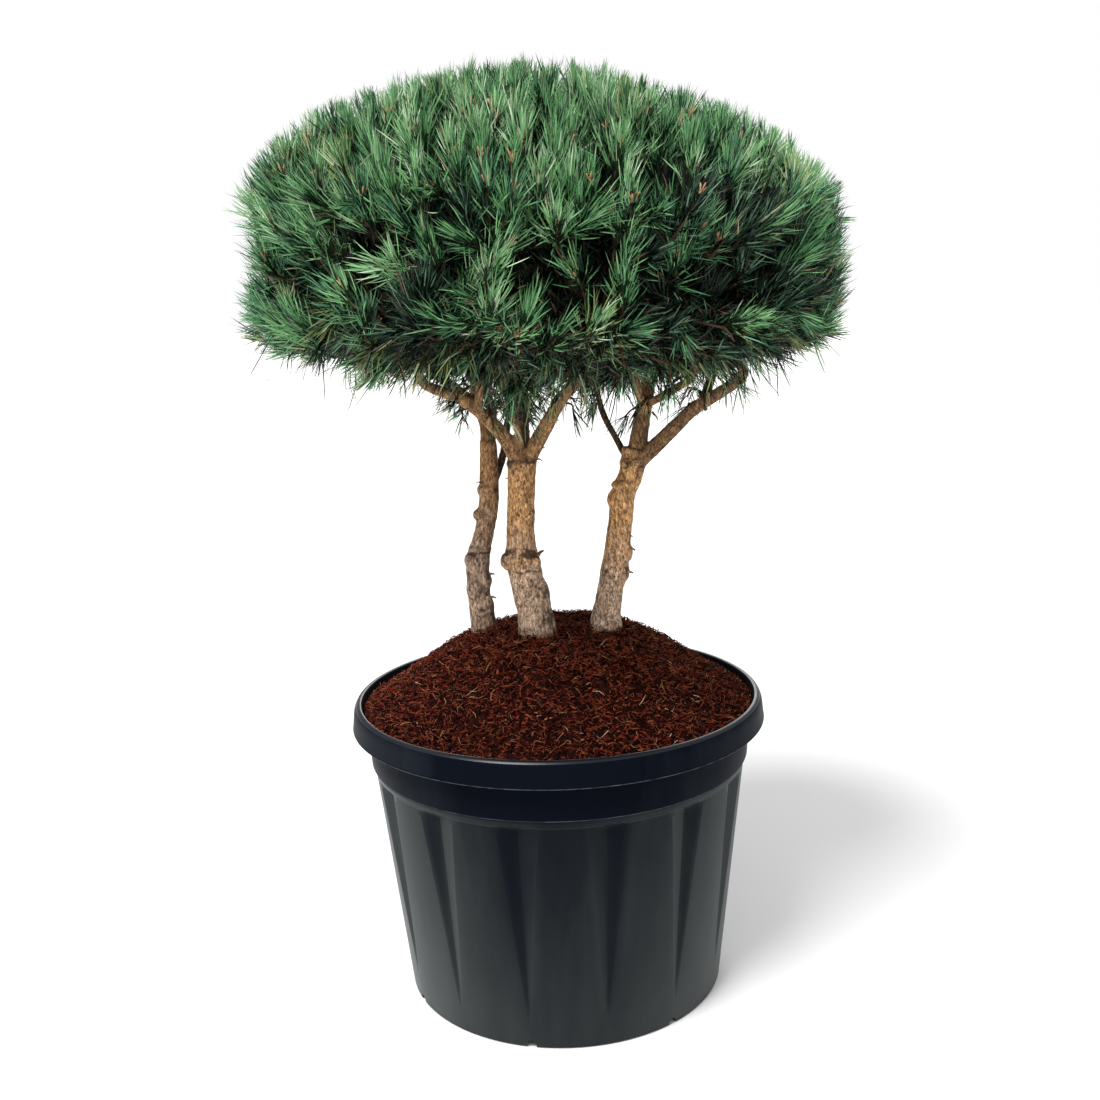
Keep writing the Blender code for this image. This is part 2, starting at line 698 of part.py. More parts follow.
def make_stem(name):
    """The stem of a mass, from just clear of its bough's tip to the middle of its core."""
    bough = next(b for b, row in BOUGHS.items() if row[3] == name)
    points, radii = bough_path(bough)
    way = (points[-1] - points[-2]).normalized()
    start = points[-1] + way * GAP
    middle = start + way * STEM_FOOT
    centre = MASSES[name]["centre"]
    stem = tube([start, middle, centre], [radii[-1], radii[-1], STEM_TAPER * radii[-1]], BOUGH_SIDES)
    return add_object("stem", stem)


def make_masses():
    """Each foliage mass as one solid: its core, stem and sprays joined."""
    limbs = bmesh.new()
    for name in list(TRUNKS) + list(BOUGHS):
        limbs.from_mesh(bpy.data.objects[name].data)
    limb_tree = BVHTree.FromBMesh(limbs)
    limbs.free()
    for name in MASSES:
        core = make_core(name, limb_tree)
        sprays = make_sprays(name, core, limb_tree)
        mass = add_object(name, core, "needles")
        join_or_cut(mass, sprays + [make_stem(name)], "UNION")


def main():
    """Clear the scene and build the plant and its pot."""
    for obj in list(bpy.data.objects):
        bpy.data.objects.remove(obj)
    make_pot()
    make_mulch()
    make_limbs()
    make_masses()


if __name__ == "__main__":
    main()
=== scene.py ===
"""The finish of a potted Scots pine: pot, mulch, bark, twigs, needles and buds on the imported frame."""

import itertools
import math

import bpy
import numpy as np
from mathutils import Matrix, Vector, kdtree, noise


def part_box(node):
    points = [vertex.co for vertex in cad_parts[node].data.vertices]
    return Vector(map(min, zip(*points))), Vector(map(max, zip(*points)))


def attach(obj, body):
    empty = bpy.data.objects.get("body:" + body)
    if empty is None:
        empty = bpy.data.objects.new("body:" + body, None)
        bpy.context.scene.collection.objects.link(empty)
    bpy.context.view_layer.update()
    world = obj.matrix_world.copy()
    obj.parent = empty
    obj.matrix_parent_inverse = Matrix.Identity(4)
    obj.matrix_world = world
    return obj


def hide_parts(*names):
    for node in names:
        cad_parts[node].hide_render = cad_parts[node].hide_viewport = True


bl_info = {
    "name": "Potted pine",
    "version": (1, 0, 0),
    "blender": (4, 5, 0),
    "location": "3D View > Sidebar > Pine",
    "description": "Dresses the frame of a potted pine with its finished surfaces",
    "category": "Object",
}

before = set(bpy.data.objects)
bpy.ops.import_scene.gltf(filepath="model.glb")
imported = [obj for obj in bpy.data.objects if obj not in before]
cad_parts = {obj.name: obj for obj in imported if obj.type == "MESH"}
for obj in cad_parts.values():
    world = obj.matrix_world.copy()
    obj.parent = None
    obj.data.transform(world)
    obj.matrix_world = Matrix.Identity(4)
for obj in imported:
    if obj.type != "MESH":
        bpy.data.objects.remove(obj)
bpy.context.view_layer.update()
NODES = sorted(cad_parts)
MASS_NODES = [name for name in NODES if name.endswith("_mass")]
POT_TOP = float(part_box("pot")[1][2])
LIP_REACH = float(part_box("pot")[1][0])
GROUND = float(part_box("mulch")[1][2])
BODY = "root"

# Photograph's camera, in metres and radians
PHOTO_SIDE = 1100.0
CAMERA_DISTANCE = 1.785
CAMERA_HEIGHT = 1.010
CAMERA_FOCUS = 1266.4
CAMERA_PITCH = 0.2017
CAMERA_ROLL = -0.0338
CAMERA_YAW = 0.0022
SENSOR = 36.0

# Crown's outer surface: above and below its middle height, the full height at its axis, the share lost
# at its rim and how late, the lean to the right, and how square the corner between top and side is
CROWN_AXIS = 0.003
CROWN_MIDDLE = 1.0
CROWN_RADIUS = 0.407
CROWN_TOP = (0.302, 0.42, 1.8, 0.095, 8.0)
CROWN_UNDERSIDE = (0.134, 0.19, 1.8, -0.21, 3.1)

# Layout of the foliage masses: turn of the first, ring radius, height and size
LOW_RING = (math.radians(-77.0), 0.276, 0.985, 0.145)
HIGH_RING = (math.radians(-51.0), 0.228, 1.122, 0.142)
TOP_MASS = ((0.0, 0.0, 1.188), 0.148)
INNER_MASSES = {
    "inner_left_mass": ((-0.050, -0.078, 0.905), 0.070),
    "inner_right_mass": ((0.095, -0.085, 0.950), 0.075),
}
LOW_NAMES = ["front_mass", "right_front_mass", "right_back_mass", "back_mass", "left_back_mass",
             "left_mass", "left_front_mass"]
HIGH_NAMES = ["high_front_right_mass", "high_right_mass", "high_back_right_mass",
              "high_back_left_mass", "high_left_mass", "high_front_left_mass"]
STEM_REACH = 0.085
STEM_SHARE = 0.62
LEAST_RUN = 0.012
TAPER_POWER = 0.8
STEM_STEP = 0.006

# Furthest tips at the crown's sides, and the hollows between its clumps as centre, radius and depth
LONG_TIPS = ((-0.436, -0.010, 0.962), (0.441, 0.090, 1.066), (-0.262, -0.180, 0.886),
             (0.428, -0.040, 1.100))
HOLLOWS = (
    ((0.190, -0.352, 1.000), 0.060, 0.110), ((-0.290, -0.262, 1.040), 0.034, 0.062),
    ((-0.235, -0.318, 0.985), 0.028, 0.050), ((0.060, -0.395, 1.010), 0.024, 0.040),
    ((0.300, 0.230, 1.010), 0.048, 0.050), ((-0.180, 0.350, 0.990), 0.048, 0.050),
    ((-0.385, 0.090, 1.020), 0.036, 0.040), ((0.100, 0.380, 1.090), 0.034, 0.036),
    ((-0.262, -0.250, 0.915), 0.055, -0.015),
)

# Each trunk: foot to top as (x, y, height, radius)
TRUNKS = {
    "centre_trunk": [
        (-0.025, -0.015, 0.500, 0.0290), (-0.026, -0.015, 0.530, 0.0280),
        (-0.030, -0.015, 0.565, 0.0255), (-0.039, -0.015, 0.610, 0.0240),
        (-0.044, -0.015, 0.640, 0.0245), (-0.045, -0.015, 0.665, 0.0205),
        (-0.042, -0.015, 0.730, 0.0195), (-0.038, -0.016, 0.785, 0.0215)],
    "left_trunk": [
        (-0.103, 0.030, 0.500, 0.0215), (-0.105, 0.030, 0.530, 0.0200), (-0.110, 0.030, 0.575, 0.0165),
        (-0.110, 0.031, 0.625, 0.0170), (-0.099, 0.034, 0.670, 0.0145),
        (-0.090, 0.038, 0.720, 0.0150), (-0.088, 0.043, 0.800, 0.0125)],
    "right_trunk": [
        (0.072, 0.0, 0.500, 0.0250), (0.073, 0.0, 0.530, 0.0235), (0.078, 0.0, 0.565, 0.0195),
        (0.089, 0.0, 0.620, 0.0195), (0.098, 0.0, 0.680, 0.0175), (0.103, 0.0, 0.722, 0.0180),
        (0.115, 0.0, 0.752, 0.0175), (0.122, 0.0, 0.788, 0.0195)],
}

# Each bough: its trunk, first and last radius, the mass it carries and the points its axis runs through
BOUGHS = {
    "centre_left_bough": ("centre_trunk", 0.0130, 0.0050, "left_front_mass", [
        (-0.040, -0.018, 0.772), (-0.067, -0.045, 0.822), (-0.109, -0.090, 0.869),
        (-0.159, -0.132, 0.897)]),
    "centre_right_bough": ("centre_trunk", 0.0130, 0.0055, "front_mass", [
        (-0.034, -0.018, 0.774), (-0.005, -0.040, 0.825), (0.019, -0.085, 0.869),
        (0.045, -0.130, 0.900)]),
    "centre_back_bough": ("centre_trunk", 0.0110, 0.0050, "top_mass", [
        (-0.037, -0.014, 0.776), (-0.036, 0.015, 0.839), (-0.034, 0.030, 0.900),
        (-0.018, 0.020, 1.030)]),
    "centre_front_bough": ("centre_trunk", 0.0070, 0.0040, "inner_left_mass", [
        (-0.040, -0.020, 0.778), (-0.042, -0.038, 0.815), (-0.046, -0.055, 0.842)]),
    "front_rising_bough": ("centre_trunk", 0.0070, 0.0045, "high_front_left_mass", [
        (-0.095, -0.077, 0.858), (-0.085, -0.105, 0.915), (-0.068, -0.150, 1.000)]),
    "left_bough": ("left_trunk", 0.0105, 0.0050, "left_mass", [
        (-0.088, 0.043, 0.788), (-0.096, 0.050, 0.838), (-0.135, 0.046, 0.880),
        (-0.175, 0.030, 0.910)]),
    "left_back_bough": ("left_trunk", 0.0095, 0.0050, "left_back_mass", [
        (-0.087, 0.046, 0.790), (-0.084, 0.080, 0.845), (-0.110, 0.130, 0.900)]),
    "left_rising_bough": ("left_trunk", 0.0080, 0.0045, "high_left_mass", [
        (-0.100, 0.050, 0.846), (-0.112, 0.030, 0.930), (-0.150, 0.000, 1.030)]),
    "left_rear_bough": ("left_trunk", 0.0068, 0.0045, "back_mass", [
        (-0.089, 0.040, 0.725), (-0.068, 0.068, 0.777), (-0.056, 0.100, 0.835),
        (-0.015, 0.160, 0.900)]),
    "back_rising_bough": ("left_trunk", 0.0070, 0.0045, "high_back_left_mass", [
        (-0.090, 0.095, 0.861), (-0.080, 0.120, 0.940), (-0.100, 0.150, 1.030)]),
    "right_leader": ("right_trunk", 0.0145, 0.0060, "high_right_mass", [
        (0.122, 0.0, 0.774), (0.131, 0.0, 0.825), (0.142, 0.005, 0.876), (0.152, 0.020, 0.945),
        (0.165, 0.028, 1.020)]),
    "right_bough": ("right_trunk", 0.0125, 0.0065, "right_front_mass", [
        (0.124, -0.003, 0.768), (0.162, -0.020, 0.805), (0.203, -0.040, 0.846),
        (0.260, -0.072, 0.886)]),
    "right_upper_bough": ("right_trunk", 0.0062, 0.0045, "high_front_right_mass", [
        (0.138, -0.002, 0.849), (0.175, -0.040, 0.873), (0.196, -0.090, 0.900),
        (0.180, -0.135, 0.975)]),
    "right_back_bough": ("right_trunk", 0.0080, 0.0055, "right_back_mass", [
        (0.212, -0.045, 0.852), (0.226, -0.005, 0.874), (0.238, 0.030, 0.900)]),
    "right_thin_bough": ("right_trunk", 0.0055, 0.0040, "high_back_right_mass", [
        (0.116, 0.004, 0.762), (0.098, 0.035, 0.796), (0.077, 0.062, 0.842), (0.066, 0.110, 0.920),
        (0.068, 0.145, 1.000)]),
    "right_inner_bough": ("right_trunk", 0.0070, 0.0040, "inner_right_mass", [
        (0.134, -0.001, 0.845), (0.121, -0.030, 0.883), (0.112, -0.052, 0.905)]),
}

# How dark the bark of a trunk or bough is, its own darker bark with painted shade deepest on the boughs
# inside and behind the crown: 0 if not named, 1 nearly black
BOUGH_SHADES = {
    "left_trunk": 0.30, "centre_left_bough": 0.54, "centre_right_bough": 0.54,
    "centre_back_bough": 0.78,
    "centre_front_bough": 0.58, "front_rising_bough": 0.52, "left_bough": 0.70, "left_back_bough": 0.85,
    "left_rising_bough": 0.68, "left_rear_bough": 0.97, "back_rising_bough": 0.93, "right_leader": 0.70,
    "right_bough": 0.80, "right_upper_bough": 0.70, "right_back_bough": 0.92, "right_thin_bough": 0.99,
    "right_inner_bough": 0.45,
}

# How much painted shade darkens each trunk's bark on its right side, away from the light
PAINTED_SIDE_SHADE = {"centre_trunk": 0.26, "left_trunk": 0.52, "right_trunk": 0.22}

# Knots and collars on the trunks: centre, then width, depth and height of each lump
KNOTS = {
    "centre_trunk": [
        ((-0.045, -0.016, 0.637), (0.0268, 0.0256, 0.0130)),
        ((-0.064, -0.025, 0.636), (0.0112, 0.0110, 0.0135)),
        ((-0.028, -0.030, 0.634), (0.0105, 0.0090, 0.0110)),
        ((-0.016, -0.020, 0.580), (0.0100, 0.0130, 0.0280)),
        ((-0.013, -0.018, 0.545), (0.0120, 0.0130, 0.0260)),
        ((-0.042, -0.017, 0.703), (0.0200, 0.0196, 0.0060)),
        ((-0.040, -0.022, 0.775), (0.0215, 0.0200, 0.0100)),
        ((-0.034, -0.018, 0.615), (0.0180, 0.0180, 0.0100))],
    "left_trunk": [
        ((-0.118, 0.026, 0.628), (0.0112, 0.0130, 0.0150)),
        ((-0.106, 0.028, 0.645), (0.0175, 0.0160, 0.0060)),
        ((-0.101, 0.024, 0.600), (0.0108, 0.0120, 0.0170)),
        ((-0.1035, 0.032, 0.694), (0.0120, 0.0135, 0.0100)),
        ((-0.116, 0.022, 0.588), (0.0125, 0.0150, 0.0210)),
        ((-0.112, 0.024, 0.548), (0.0120, 0.0150, 0.0150)),
        ((-0.091, 0.035, 0.730), (0.0165, 0.0150, 0.0120)),
        ((-0.098, 0.022, 0.560), (0.0095, 0.0110, 0.0170)),
        ((-0.092, 0.034, 0.690), (0.0130, 0.0130, 0.0090))],
    "right_trunk": [
        ((0.0900, -0.003, 0.716), (0.0110, 0.0120, 0.0150)),
        ((0.106, -0.004, 0.640), (0.0088, 0.0120, 0.0150)),
        ((0.101, -0.002, 0.612), (0.0085, 0.0130, 0.0170)),
        ((0.078, -0.004, 0.610), (0.0100, 0.0120, 0.0130)),
        ((0.104, -0.008, 0.738), (0.0185, 0.0170, 0.0080)),
        ((0.086, -0.006, 0.532), (0.0120, 0.0150, 0.0130)),
        ((0.118, -0.006, 0.768), (0.0205, 0.0180, 0.0120))],
}

# Dark scars on the bark: centre and radius of each spot
SCARS = {
    "centre_trunk": [
        ((-0.070, -0.030, 0.646), 0.008), ((-0.022, -0.032, 0.644), 0.010),
        ((-0.010, -0.030, 0.590), 0.013), ((-0.008, -0.030, 0.552), 0.017),
        ((-0.056, -0.034, 0.772), 0.008), ((-0.034, -0.040, 0.778), 0.008),
        ((-0.062, -0.036, 0.702), 0.006), ((-0.030, -0.036, 0.604), 0.006)],
    "left_trunk": [
        ((-0.100, 0.012, 0.692), 0.010), ((-0.124, 0.018, 0.640), 0.008),
        ((-0.090, 0.014, 0.606), 0.011), ((-0.094, 0.012, 0.585), 0.010),
        ((-0.128, 0.016, 0.606), 0.008), ((-0.088, 0.016, 0.560), 0.010),
        ((-0.078, 0.026, 0.732), 0.008), ((-0.108, 0.014, 0.556), 0.006)],
    "right_trunk": [
        ((0.084, -0.014, 0.724), 0.008), ((0.118, -0.010, 0.648), 0.008),
        ((0.108, -0.014, 0.614), 0.009), ((0.076, -0.014, 0.614), 0.006),
        ((0.126, -0.014, 0.762), 0.008), ((0.110, -0.018, 0.770), 0.007),
        ((0.096, -0.022, 0.684), 0.004)],
}

# Rings of broken bark round a trunk: height and half width
SCAR_RINGS = {
    "centre_trunk": [(0.6490, 0.0058), (0.6225, 0.0014), (0.7790, 0.0022)],
    "left_trunk": [(0.6410, 0.0026)],
    "right_trunk": [(0.7640, 0.0022)],
}

# Short dead spurs: foot, end and radius at the foot
SPURS = {
    "centre_trunk": [
        ((-0.024, -0.026, 0.640), (-0.013, -0.030, 0.651), 0.0038),
        ((-0.008, -0.036, 0.826), (0.014, -0.044, 0.836), 0.0024),
        ((-0.022, -0.030, 0.792), (-0.006, -0.034, 0.797), 0.0020),
        ((-0.020, -0.025, 0.780), (-0.010, -0.028, 0.778), 0.0018),
        ((-0.055, -0.020, 0.752), (-0.064, -0.021, 0.753), 0.0014)],
    "left_trunk": [
        ((-0.096, 0.022, 0.606), (-0.086, 0.018, 0.608), 0.0028),
        ((-0.098, 0.022, 0.572), (-0.085, 0.016, 0.573), 0.0030),
        ((-0.100, 0.026, 0.742), (-0.108, 0.023, 0.742), 0.0013)],
    "right_trunk": [
        ((0.108, -0.010, 0.646), (0.118, -0.013, 0.643), 0.0030),
        ((0.103, -0.012, 0.610), (0.114, -0.016, 0.611), 0.0032),
        ((0.108, -0.008, 0.664), (0.115, -0.011, 0.662), 0.0018),
        ((0.148, -0.010, 0.836), (0.153, -0.016, 0.828), 0.0018),
        ((0.212, -0.054, 0.850), (0.203, -0.060, 0.866), 0.0026),
        ((0.098, 0.030, 0.800), (0.106, 0.026, 0.812), 0.0014)],
}


class PinePotSettings(bpy.types.PropertyGroup):
    """Sizes and colour of the pot."""
    height: bpy.props.FloatProperty(name="Height", description="Height of the rim", default=POT_TOP,
                                    unit="LENGTH")
    lip: bpy.props.FloatProperty(name="Lip radius", description="Radius at the lip", default=LIP_REACH,
                                 unit="LENGTH")
    base: bpy.props.FloatProperty(name="Base radius", description="Radius at the foot", default=0.233,
                                  unit="LENGTH")
    grooves: bpy.props.IntProperty(name="Grooves", description="Grooves round the wall", default=14)
    groove_depth: bpy.props.FloatProperty(
        name="Groove depth", description="Depth of a groove at its top", default=0.009, unit="LENGTH")
    colour: bpy.props.FloatVectorProperty(
        name="Colour", description="Colour of the plastic", subtype="COLOR", size=3,
        default=(0.0030, 0.0042, 0.0078))


class PineMulchSettings(bpy.types.PropertyGroup):
    """Amount and colours of the mulch."""
    fibres: bpy.props.IntProperty(name="Fibres", description="Loose fibres on the mound", default=24000)
    chips: bpy.props.IntProperty(name="Chips", description="Flat bark chips on the mound", default=900)
    roughness: bpy.props.FloatProperty(
        name="Lumps", description="Height of the mound's lumps", default=0.0105, unit="LENGTH")
    colour: bpy.props.FloatVectorProperty(
        name="Colour", description="Main colour of the mulch", subtype="COLOR", size=3,
        default=(0.020, 0.0040, 0.0028))


class PineBarkSettings(bpy.types.PropertyGroup):
    """Relief and colours of the bark."""
    grain: bpy.props.FloatProperty(
        name="Mesh size", description="Size of the bark mesh's faces", default=0.0018, unit="LENGTH")
    relief: bpy.props.FloatProperty(
        name="Relief", description="Depth between bark flakes", default=0.0011, unit="LENGTH")
    warm: bpy.props.FloatVectorProperty(
        name="Upper bark", description="Orange-tan upper bark", subtype="COLOR", size=3,
        default=(0.51, 0.290, 0.132))
    grey: bpy.props.FloatVectorProperty(
        name="Lower bark", description="Greyer lower bark", subtype="COLOR", size=3,
        default=(0.50, 0.360, 0.265))


class PineNeedleSettings(bpy.types.PropertyGroup):
    """Amount and sizes of the shoots and needles."""
    spacing: bpy.props.FloatProperty(
        name="Shoot spacing", description="Least distance between shoots over the crown",
        default=0.0312, unit="LENGTH")
    pairs: bpy.props.IntProperty(name="Pairs", description="Pairs of needles on a full shoot",
                                 default=52)
    length: bpy.props.FloatProperty(
        name="Needle length", description="Length of a full needle", default=0.051, unit="LENGTH")
    width: bpy.props.FloatProperty(
        name="Needle width", description="Width of a needle at its widest", default=0.0015,
        unit="LENGTH")
    seed: bpy.props.IntProperty(name="Seed", description="Seed of the growth", default=7)


class PineStageSettings(bpy.types.PropertyGroup):
    """Floor and light."""
    floor: bpy.props.FloatProperty(name="Floor", description="Side of the floor", default=80.0,
                                   unit="LENGTH")
    surround: bpy.props.FloatProperty(name="Surround", description="Strength of the light all round",
                                      default=0.30)
    key: bpy.props.FloatProperty(name="Key", description="Strength of the main light", default=3.3)
    top: bpy.props.FloatProperty(name="Top", description="Strength of the light from above",
                                 default=0.9)
    front: bpy.props.FloatProperty(name="Front",
                                   description="Strength of the low light from the front", default=0.75)
    back: bpy.props.FloatProperty(name="Back", description="Strength of the light from behind",
                                  default=1.1)


def deselect():
    """Nothing selected, in object mode."""
    if bpy.context.object and bpy.context.object.mode != "OBJECT":
        bpy.ops.object.mode_set(mode="OBJECT")
    bpy.ops.object.select_all(action="DESELECT")


def activate(obj):
    """Make one object the only one selected."""
    deselect()
    obj.select_set(True)
    bpy.context.view_layer.objects.active = obj


def apply_all(obj):
    """Apply an object's modifiers in order."""
    activate(obj)
    for modifier in list(obj.modifiers):
        bpy.ops.object.modifier_apply(modifier=modifier.name)


def settle(obj):
    """Carry an object's place into its mesh."""
    activate(obj)
    bpy.ops.object.transform_apply(location=True, rotation=True, scale=True)


def mesh_object(name, points, faces):
    """An object from arrays of points and triangles."""
    mesh = bpy.data.meshes.new(name)
    points = np.asarray(points, dtype=np.float32)
    faces = np.asarray(faces, dtype=np.int32)
    mesh.vertices.add(len(points))
    mesh.vertices.foreach_set("co", points.ravel())
    mesh.loops.add(faces.size)
    mesh.loops.foreach_set("vertex_index", faces.ravel())
    mesh.polygons.add(len(faces))
    starts = np.arange(len(faces), dtype=np.int32) * faces.shape[1]
    mesh.polygons.foreach_set("loop_start", starts)
    mesh.update(calc_edges=True)
    obj = bpy.data.objects.new(name, mesh)
    bpy.context.scene.collection.objects.link(obj)
    return obj


def unit(ways):
    """Directions of length one."""
    return ways / np.maximum(np.linalg.norm(ways, axis=-1, keepdims=True), 1e-9)


def read_vertices(mesh, what="co"):
    """A mesh's points, or its normals, in rows of three."""
    values = np.empty(3 * len(mesh.vertices))
    mesh.vertices.foreach_get(what, values)
    return values.reshape(-1, 3)


def mark_vertices(mesh, name, values):
    """Write a value at each vertex, for a material to read."""
    attribute = mesh.attributes.new(name, "FLOAT", "POINT")
    attribute.data.foreach_set("value", values.astype(np.float32))


def join(objects):
    """Join objects into the first of them."""
    deselect()
    for obj in objects:
        obj.select_set(True)
    bpy.context.view_layer.objects.active = objects[0]
    bpy.ops.object.join()
    return bpy.context.object


def place(obj, slot, *nodes):
    """Hand a finished piece to the frame."""
    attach(obj, BODY)
    if nodes:
        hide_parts(*nodes)


def new_material(name):
    """A node material with its shader, and functions that add a node and link two sockets."""
    material = bpy.data.materials.new(name)
    material.use_nodes = True
    tree = material.node_tree

    def add(kind, settings=(), **inputs):
        node = tree.nodes.new("ShaderNode" + kind)
        for key, value in dict(settings).items():
            setattr(node, key, value)
        for key, value in inputs.items():
            socket = node.inputs[int(key[1:]) if key[1:].isdigit() else key]
            if isinstance(value, bpy.types.NodeSocket):
                tree.links.new(value, socket)
            else:
                socket.default_value = value
        return node

    return material, tree.nodes["Principled BSDF"], add, tree.links.new


def ramp(add, factor, *stops):
    """A colour ramp's colour: each stop is a place and a colour."""
    node = add("ValToRGB", Fac=factor)
    elements = node.color_ramp.elements
    while len(elements) < len(stops):
        elements.new(0.5)
    for element, (position, colour) in zip(elements, stops):
        element.position = position
        element.color = (*colour, 1.0)
    return node.outputs["Color"]


def mix(add, factor, first, second, blend="MIX"):
    """A colour between two, or with MULTIPLY the first one times the second."""
    first, second = ((*c, 1.0) if isinstance(c, tuple) else c for c in (first, second))
    settings = {"data_type": "RGBA", "blend_type": blend}
    return add("Mix", settings, i0=factor, i6=first, i7=second).outputs[2]


def spread(add, value, low, high, to_low, to_high):
    """A value's range carried over to another range, and held at its ends."""
    return add("MapRange", i0=value, i1=low, i2=high, i3=to_low, i4=to_high).outputs[0]


def work_out(add, operation, *values):
    """What a Math node makes of its values."""
    inputs = {f"i{k}": value for k, value in enumerate(values)}
    return add("Math", {"operation": operation}, **inputs).outputs[0]


def patches(add, spot, scale, detail, **more):
    """A noise pattern's value at each spot."""
    return add("TexNoise", Vector=spot, Scale=scale, Detail=detail, **more).outputs["Fac"]


def marked(add, name):
    """A value that was written at the mesh's vertices."""
    return add("Attribute", {"attribute_name": name}).outputs["Fac"]


def stretched(add, spot, *scale):
    """The spots of a pattern that is drawn out along an axis."""
    return add("Mapping", Vector=spot, Scale=scale).outputs["Vector"]


# Zones of the pot: name, height it starts at, specular level and sheen
POT_ZONES = (("wall", 0.0, 0.030, 0.13), ("rim", 0.3465, 0.008, 0.010),
             ("rim_top", POT_TOP - 0.0052, 0.30, 0.03))


def plastic_material(zone, colour, shine, sheen):
    """Black moulded plastic: satin wall, lighter on its sides and towards its foot as painted reflection
    and darker in its grooves as painted shade, darker above the ledge, with a pale line along its edges
    that is partly wear and partly painted highlight.
    """
    material, shader, add, link = new_material("black_plastic_" + zone)
    spot = add("TexCoord").outputs["Object"]
    height = add("SeparateXYZ", Vector=spot).outputs["Z"]
    # A lighter strip under the ledge, the painted reflection and groove shade written on the pot, and
    # random patches
    below_ledge = work_out(add, "COMPARE", height, 0.341, 0.0062)
    strip = work_out(add, "MULTIPLY_ADD", below_ledge, 0.22, marked(add, "dust"))
    patchy = patches(add, stretched(add, spot, 1.0, 1.0, 0.20), 15.0, 6.0, Roughness=0.6)
    painted_light_and_patches = work_out(add, "ADD", strip, spread(add, patchy, 0.3, 0.7, -0.09, 0.09))
    wall_with_painted_light = ramp(
        add, painted_light_and_patches, (0.0, (0.0018, 0.0032, 0.0066)), (0.22, (0.0062, 0.0082, 0.0108)),
        (0.55, (0.0250, 0.0290, 0.0300)), (1.0, (0.0640, 0.0690, 0.0670)))
    above = spread(add, height, LEDGE - 0.002, LEDGE + 0.001, 0.0, 1.0)
    # The rim is lighter on its sides as painted reflection
    rim = mix(add, spread(add, painted_light_and_patches, 0.15, 1.0, 0.0, 0.85), colour, (0.036, 0.042, 0.050))
    plastic = mix(add, above, wall_with_painted_light, rim)
    # Pale lines along the lip's foot and the ledge: painted highlight, broken up in patches like wear
    highlight_wear_patches = patches(add, spot, 70.0, 4.0)
    for edge in (LIP_FOOT + 0.0006, LEDGE + 0.0002):
        near = work_out(add, "COMPARE", height, edge, 0.0010)
        edge_highlight_and_wear = work_out(add, "MULTIPLY", near, spread(add, highlight_wear_patches, 0.35, 0.62, 0.15, 0.75))
        plastic = mix(add, edge_highlight_and_wear, plastic, (0.085, 0.100, 0.115))
    specks = add("TexVoronoi", Vector=spot, Scale=26.0).outputs["Distance"]
    wide = spread(add, patches(add, spot, 11.0, 2.0), 0.52, 0.72, 0.0, 0.048)
    speck = work_out(add, "MULTIPLY", work_out(add, "LESS_THAN", specks, wide), 0.55)
    link(mix(add, speck, plastic, (0.34, 0.36, 0.36)), shader.inputs["Base Color"])
    link(spread(add, painted_light_and_patches, 0.0, 0.8, 0.30, 0.46), shader.inputs["Roughness"])
    shader.inputs["Specular IOR Level"].default_value = shine
    shader.inputs["Sheen Weight"].default_value = sheen
    shader.inputs["Sheen Roughness"].default_value = 0.42
    shader.inputs["Sheen Tint"].default_value = (0.93, 1.0, 1.0, 1.0)
    scratches = patches(add, stretched(add, spot, 60.0, 60.0, 9.0), 4.0, 4.0)
    grain = work_out(add, "ADD", patches(add, spot, 420.0, 3.0), scratches)
    bump = add("Bump", Strength=0.10, Distance=0.0006, Height=grain)
    link(bump.outputs["Normal"], shader.inputs["Normal"])
    return material


def bark_material(warm, grey):
    """Flaking bark: orange-tan flakes above, greyer towards the foot, with scars, dark boughs and painted
    shade on the trunks' right sides and on the boughs inside the crown.
    """
    material, shader, add, link = new_material("pine_bark")
    spot = add("TexCoord").outputs["Object"]
    across, _depth, height = add("SeparateXYZ", Vector=spot).outputs
    tall = stretched(add, spot, 1.0, 1.0, 0.48)
    strips = patches(add, tall, 120.0, 4.0, Roughness=0.6, Distortion=1.2)
    flakes = patches(add, tall, 330.0, 4.0, Roughness=0.65, Distortion=0.9)
    # The left trunk stays grey further up than the others
    level = work_out(add, "ADD", height, spread(add, across, -0.082, -0.068, -0.055, 0.0))
    blotches = patches(add, spot, 34.0, 4.0, Roughness=0.6)
    wander = work_out(add, "MULTIPLY_ADD", blotches, 0.20, level)
    base = mix(add, spread(add, wander, 0.68, 0.80, 0.0, 1.0), grey, warm)
    flake_tone = ramp(
        add, flakes, (0.39, (0.21, 0.175, 0.155)), (0.47, (0.80, 0.77, 0.74)),
        (0.55, (1.10, 1.09, 1.07)), (0.65, (1.86, 1.88, 1.83)))
    strip_tone = ramp(
        add, strips, (0.36, (0.34, 0.30, 0.28)), (0.47, (0.95, 0.94, 0.93)), (0.66, (1.34, 1.33, 1.28)))
    flaked = mix(add, 0.92, base, flake_tone, "MULTIPLY")
    varied = mix(add, 0.80, flaked, strip_tone, "MULTIPLY")
    # Darker where the limbs' dark bark and their painted shade were written
    darkened = mix(add, marked(add, "shade"), varied, (0.034, 0.022, 0.016))
    scarred = mix(add, marked(add, "scar"), darkened, (0.045, 0.026, 0.019))
    link(scarred, shader.inputs["Base Color"])
    relief = work_out(add, "MULTIPLY_ADD", strips, 1.4, flakes)
    bump = add("Bump", Strength=0.85, Distance=0.0016, Height=relief)
    link(bump.outputs["Normal"], shader.inputs["Normal"])
    shader.inputs["Roughness"].default_value = 0.88
    shader.inputs["Specular IOR Level"].default_value = 0.20
    return material


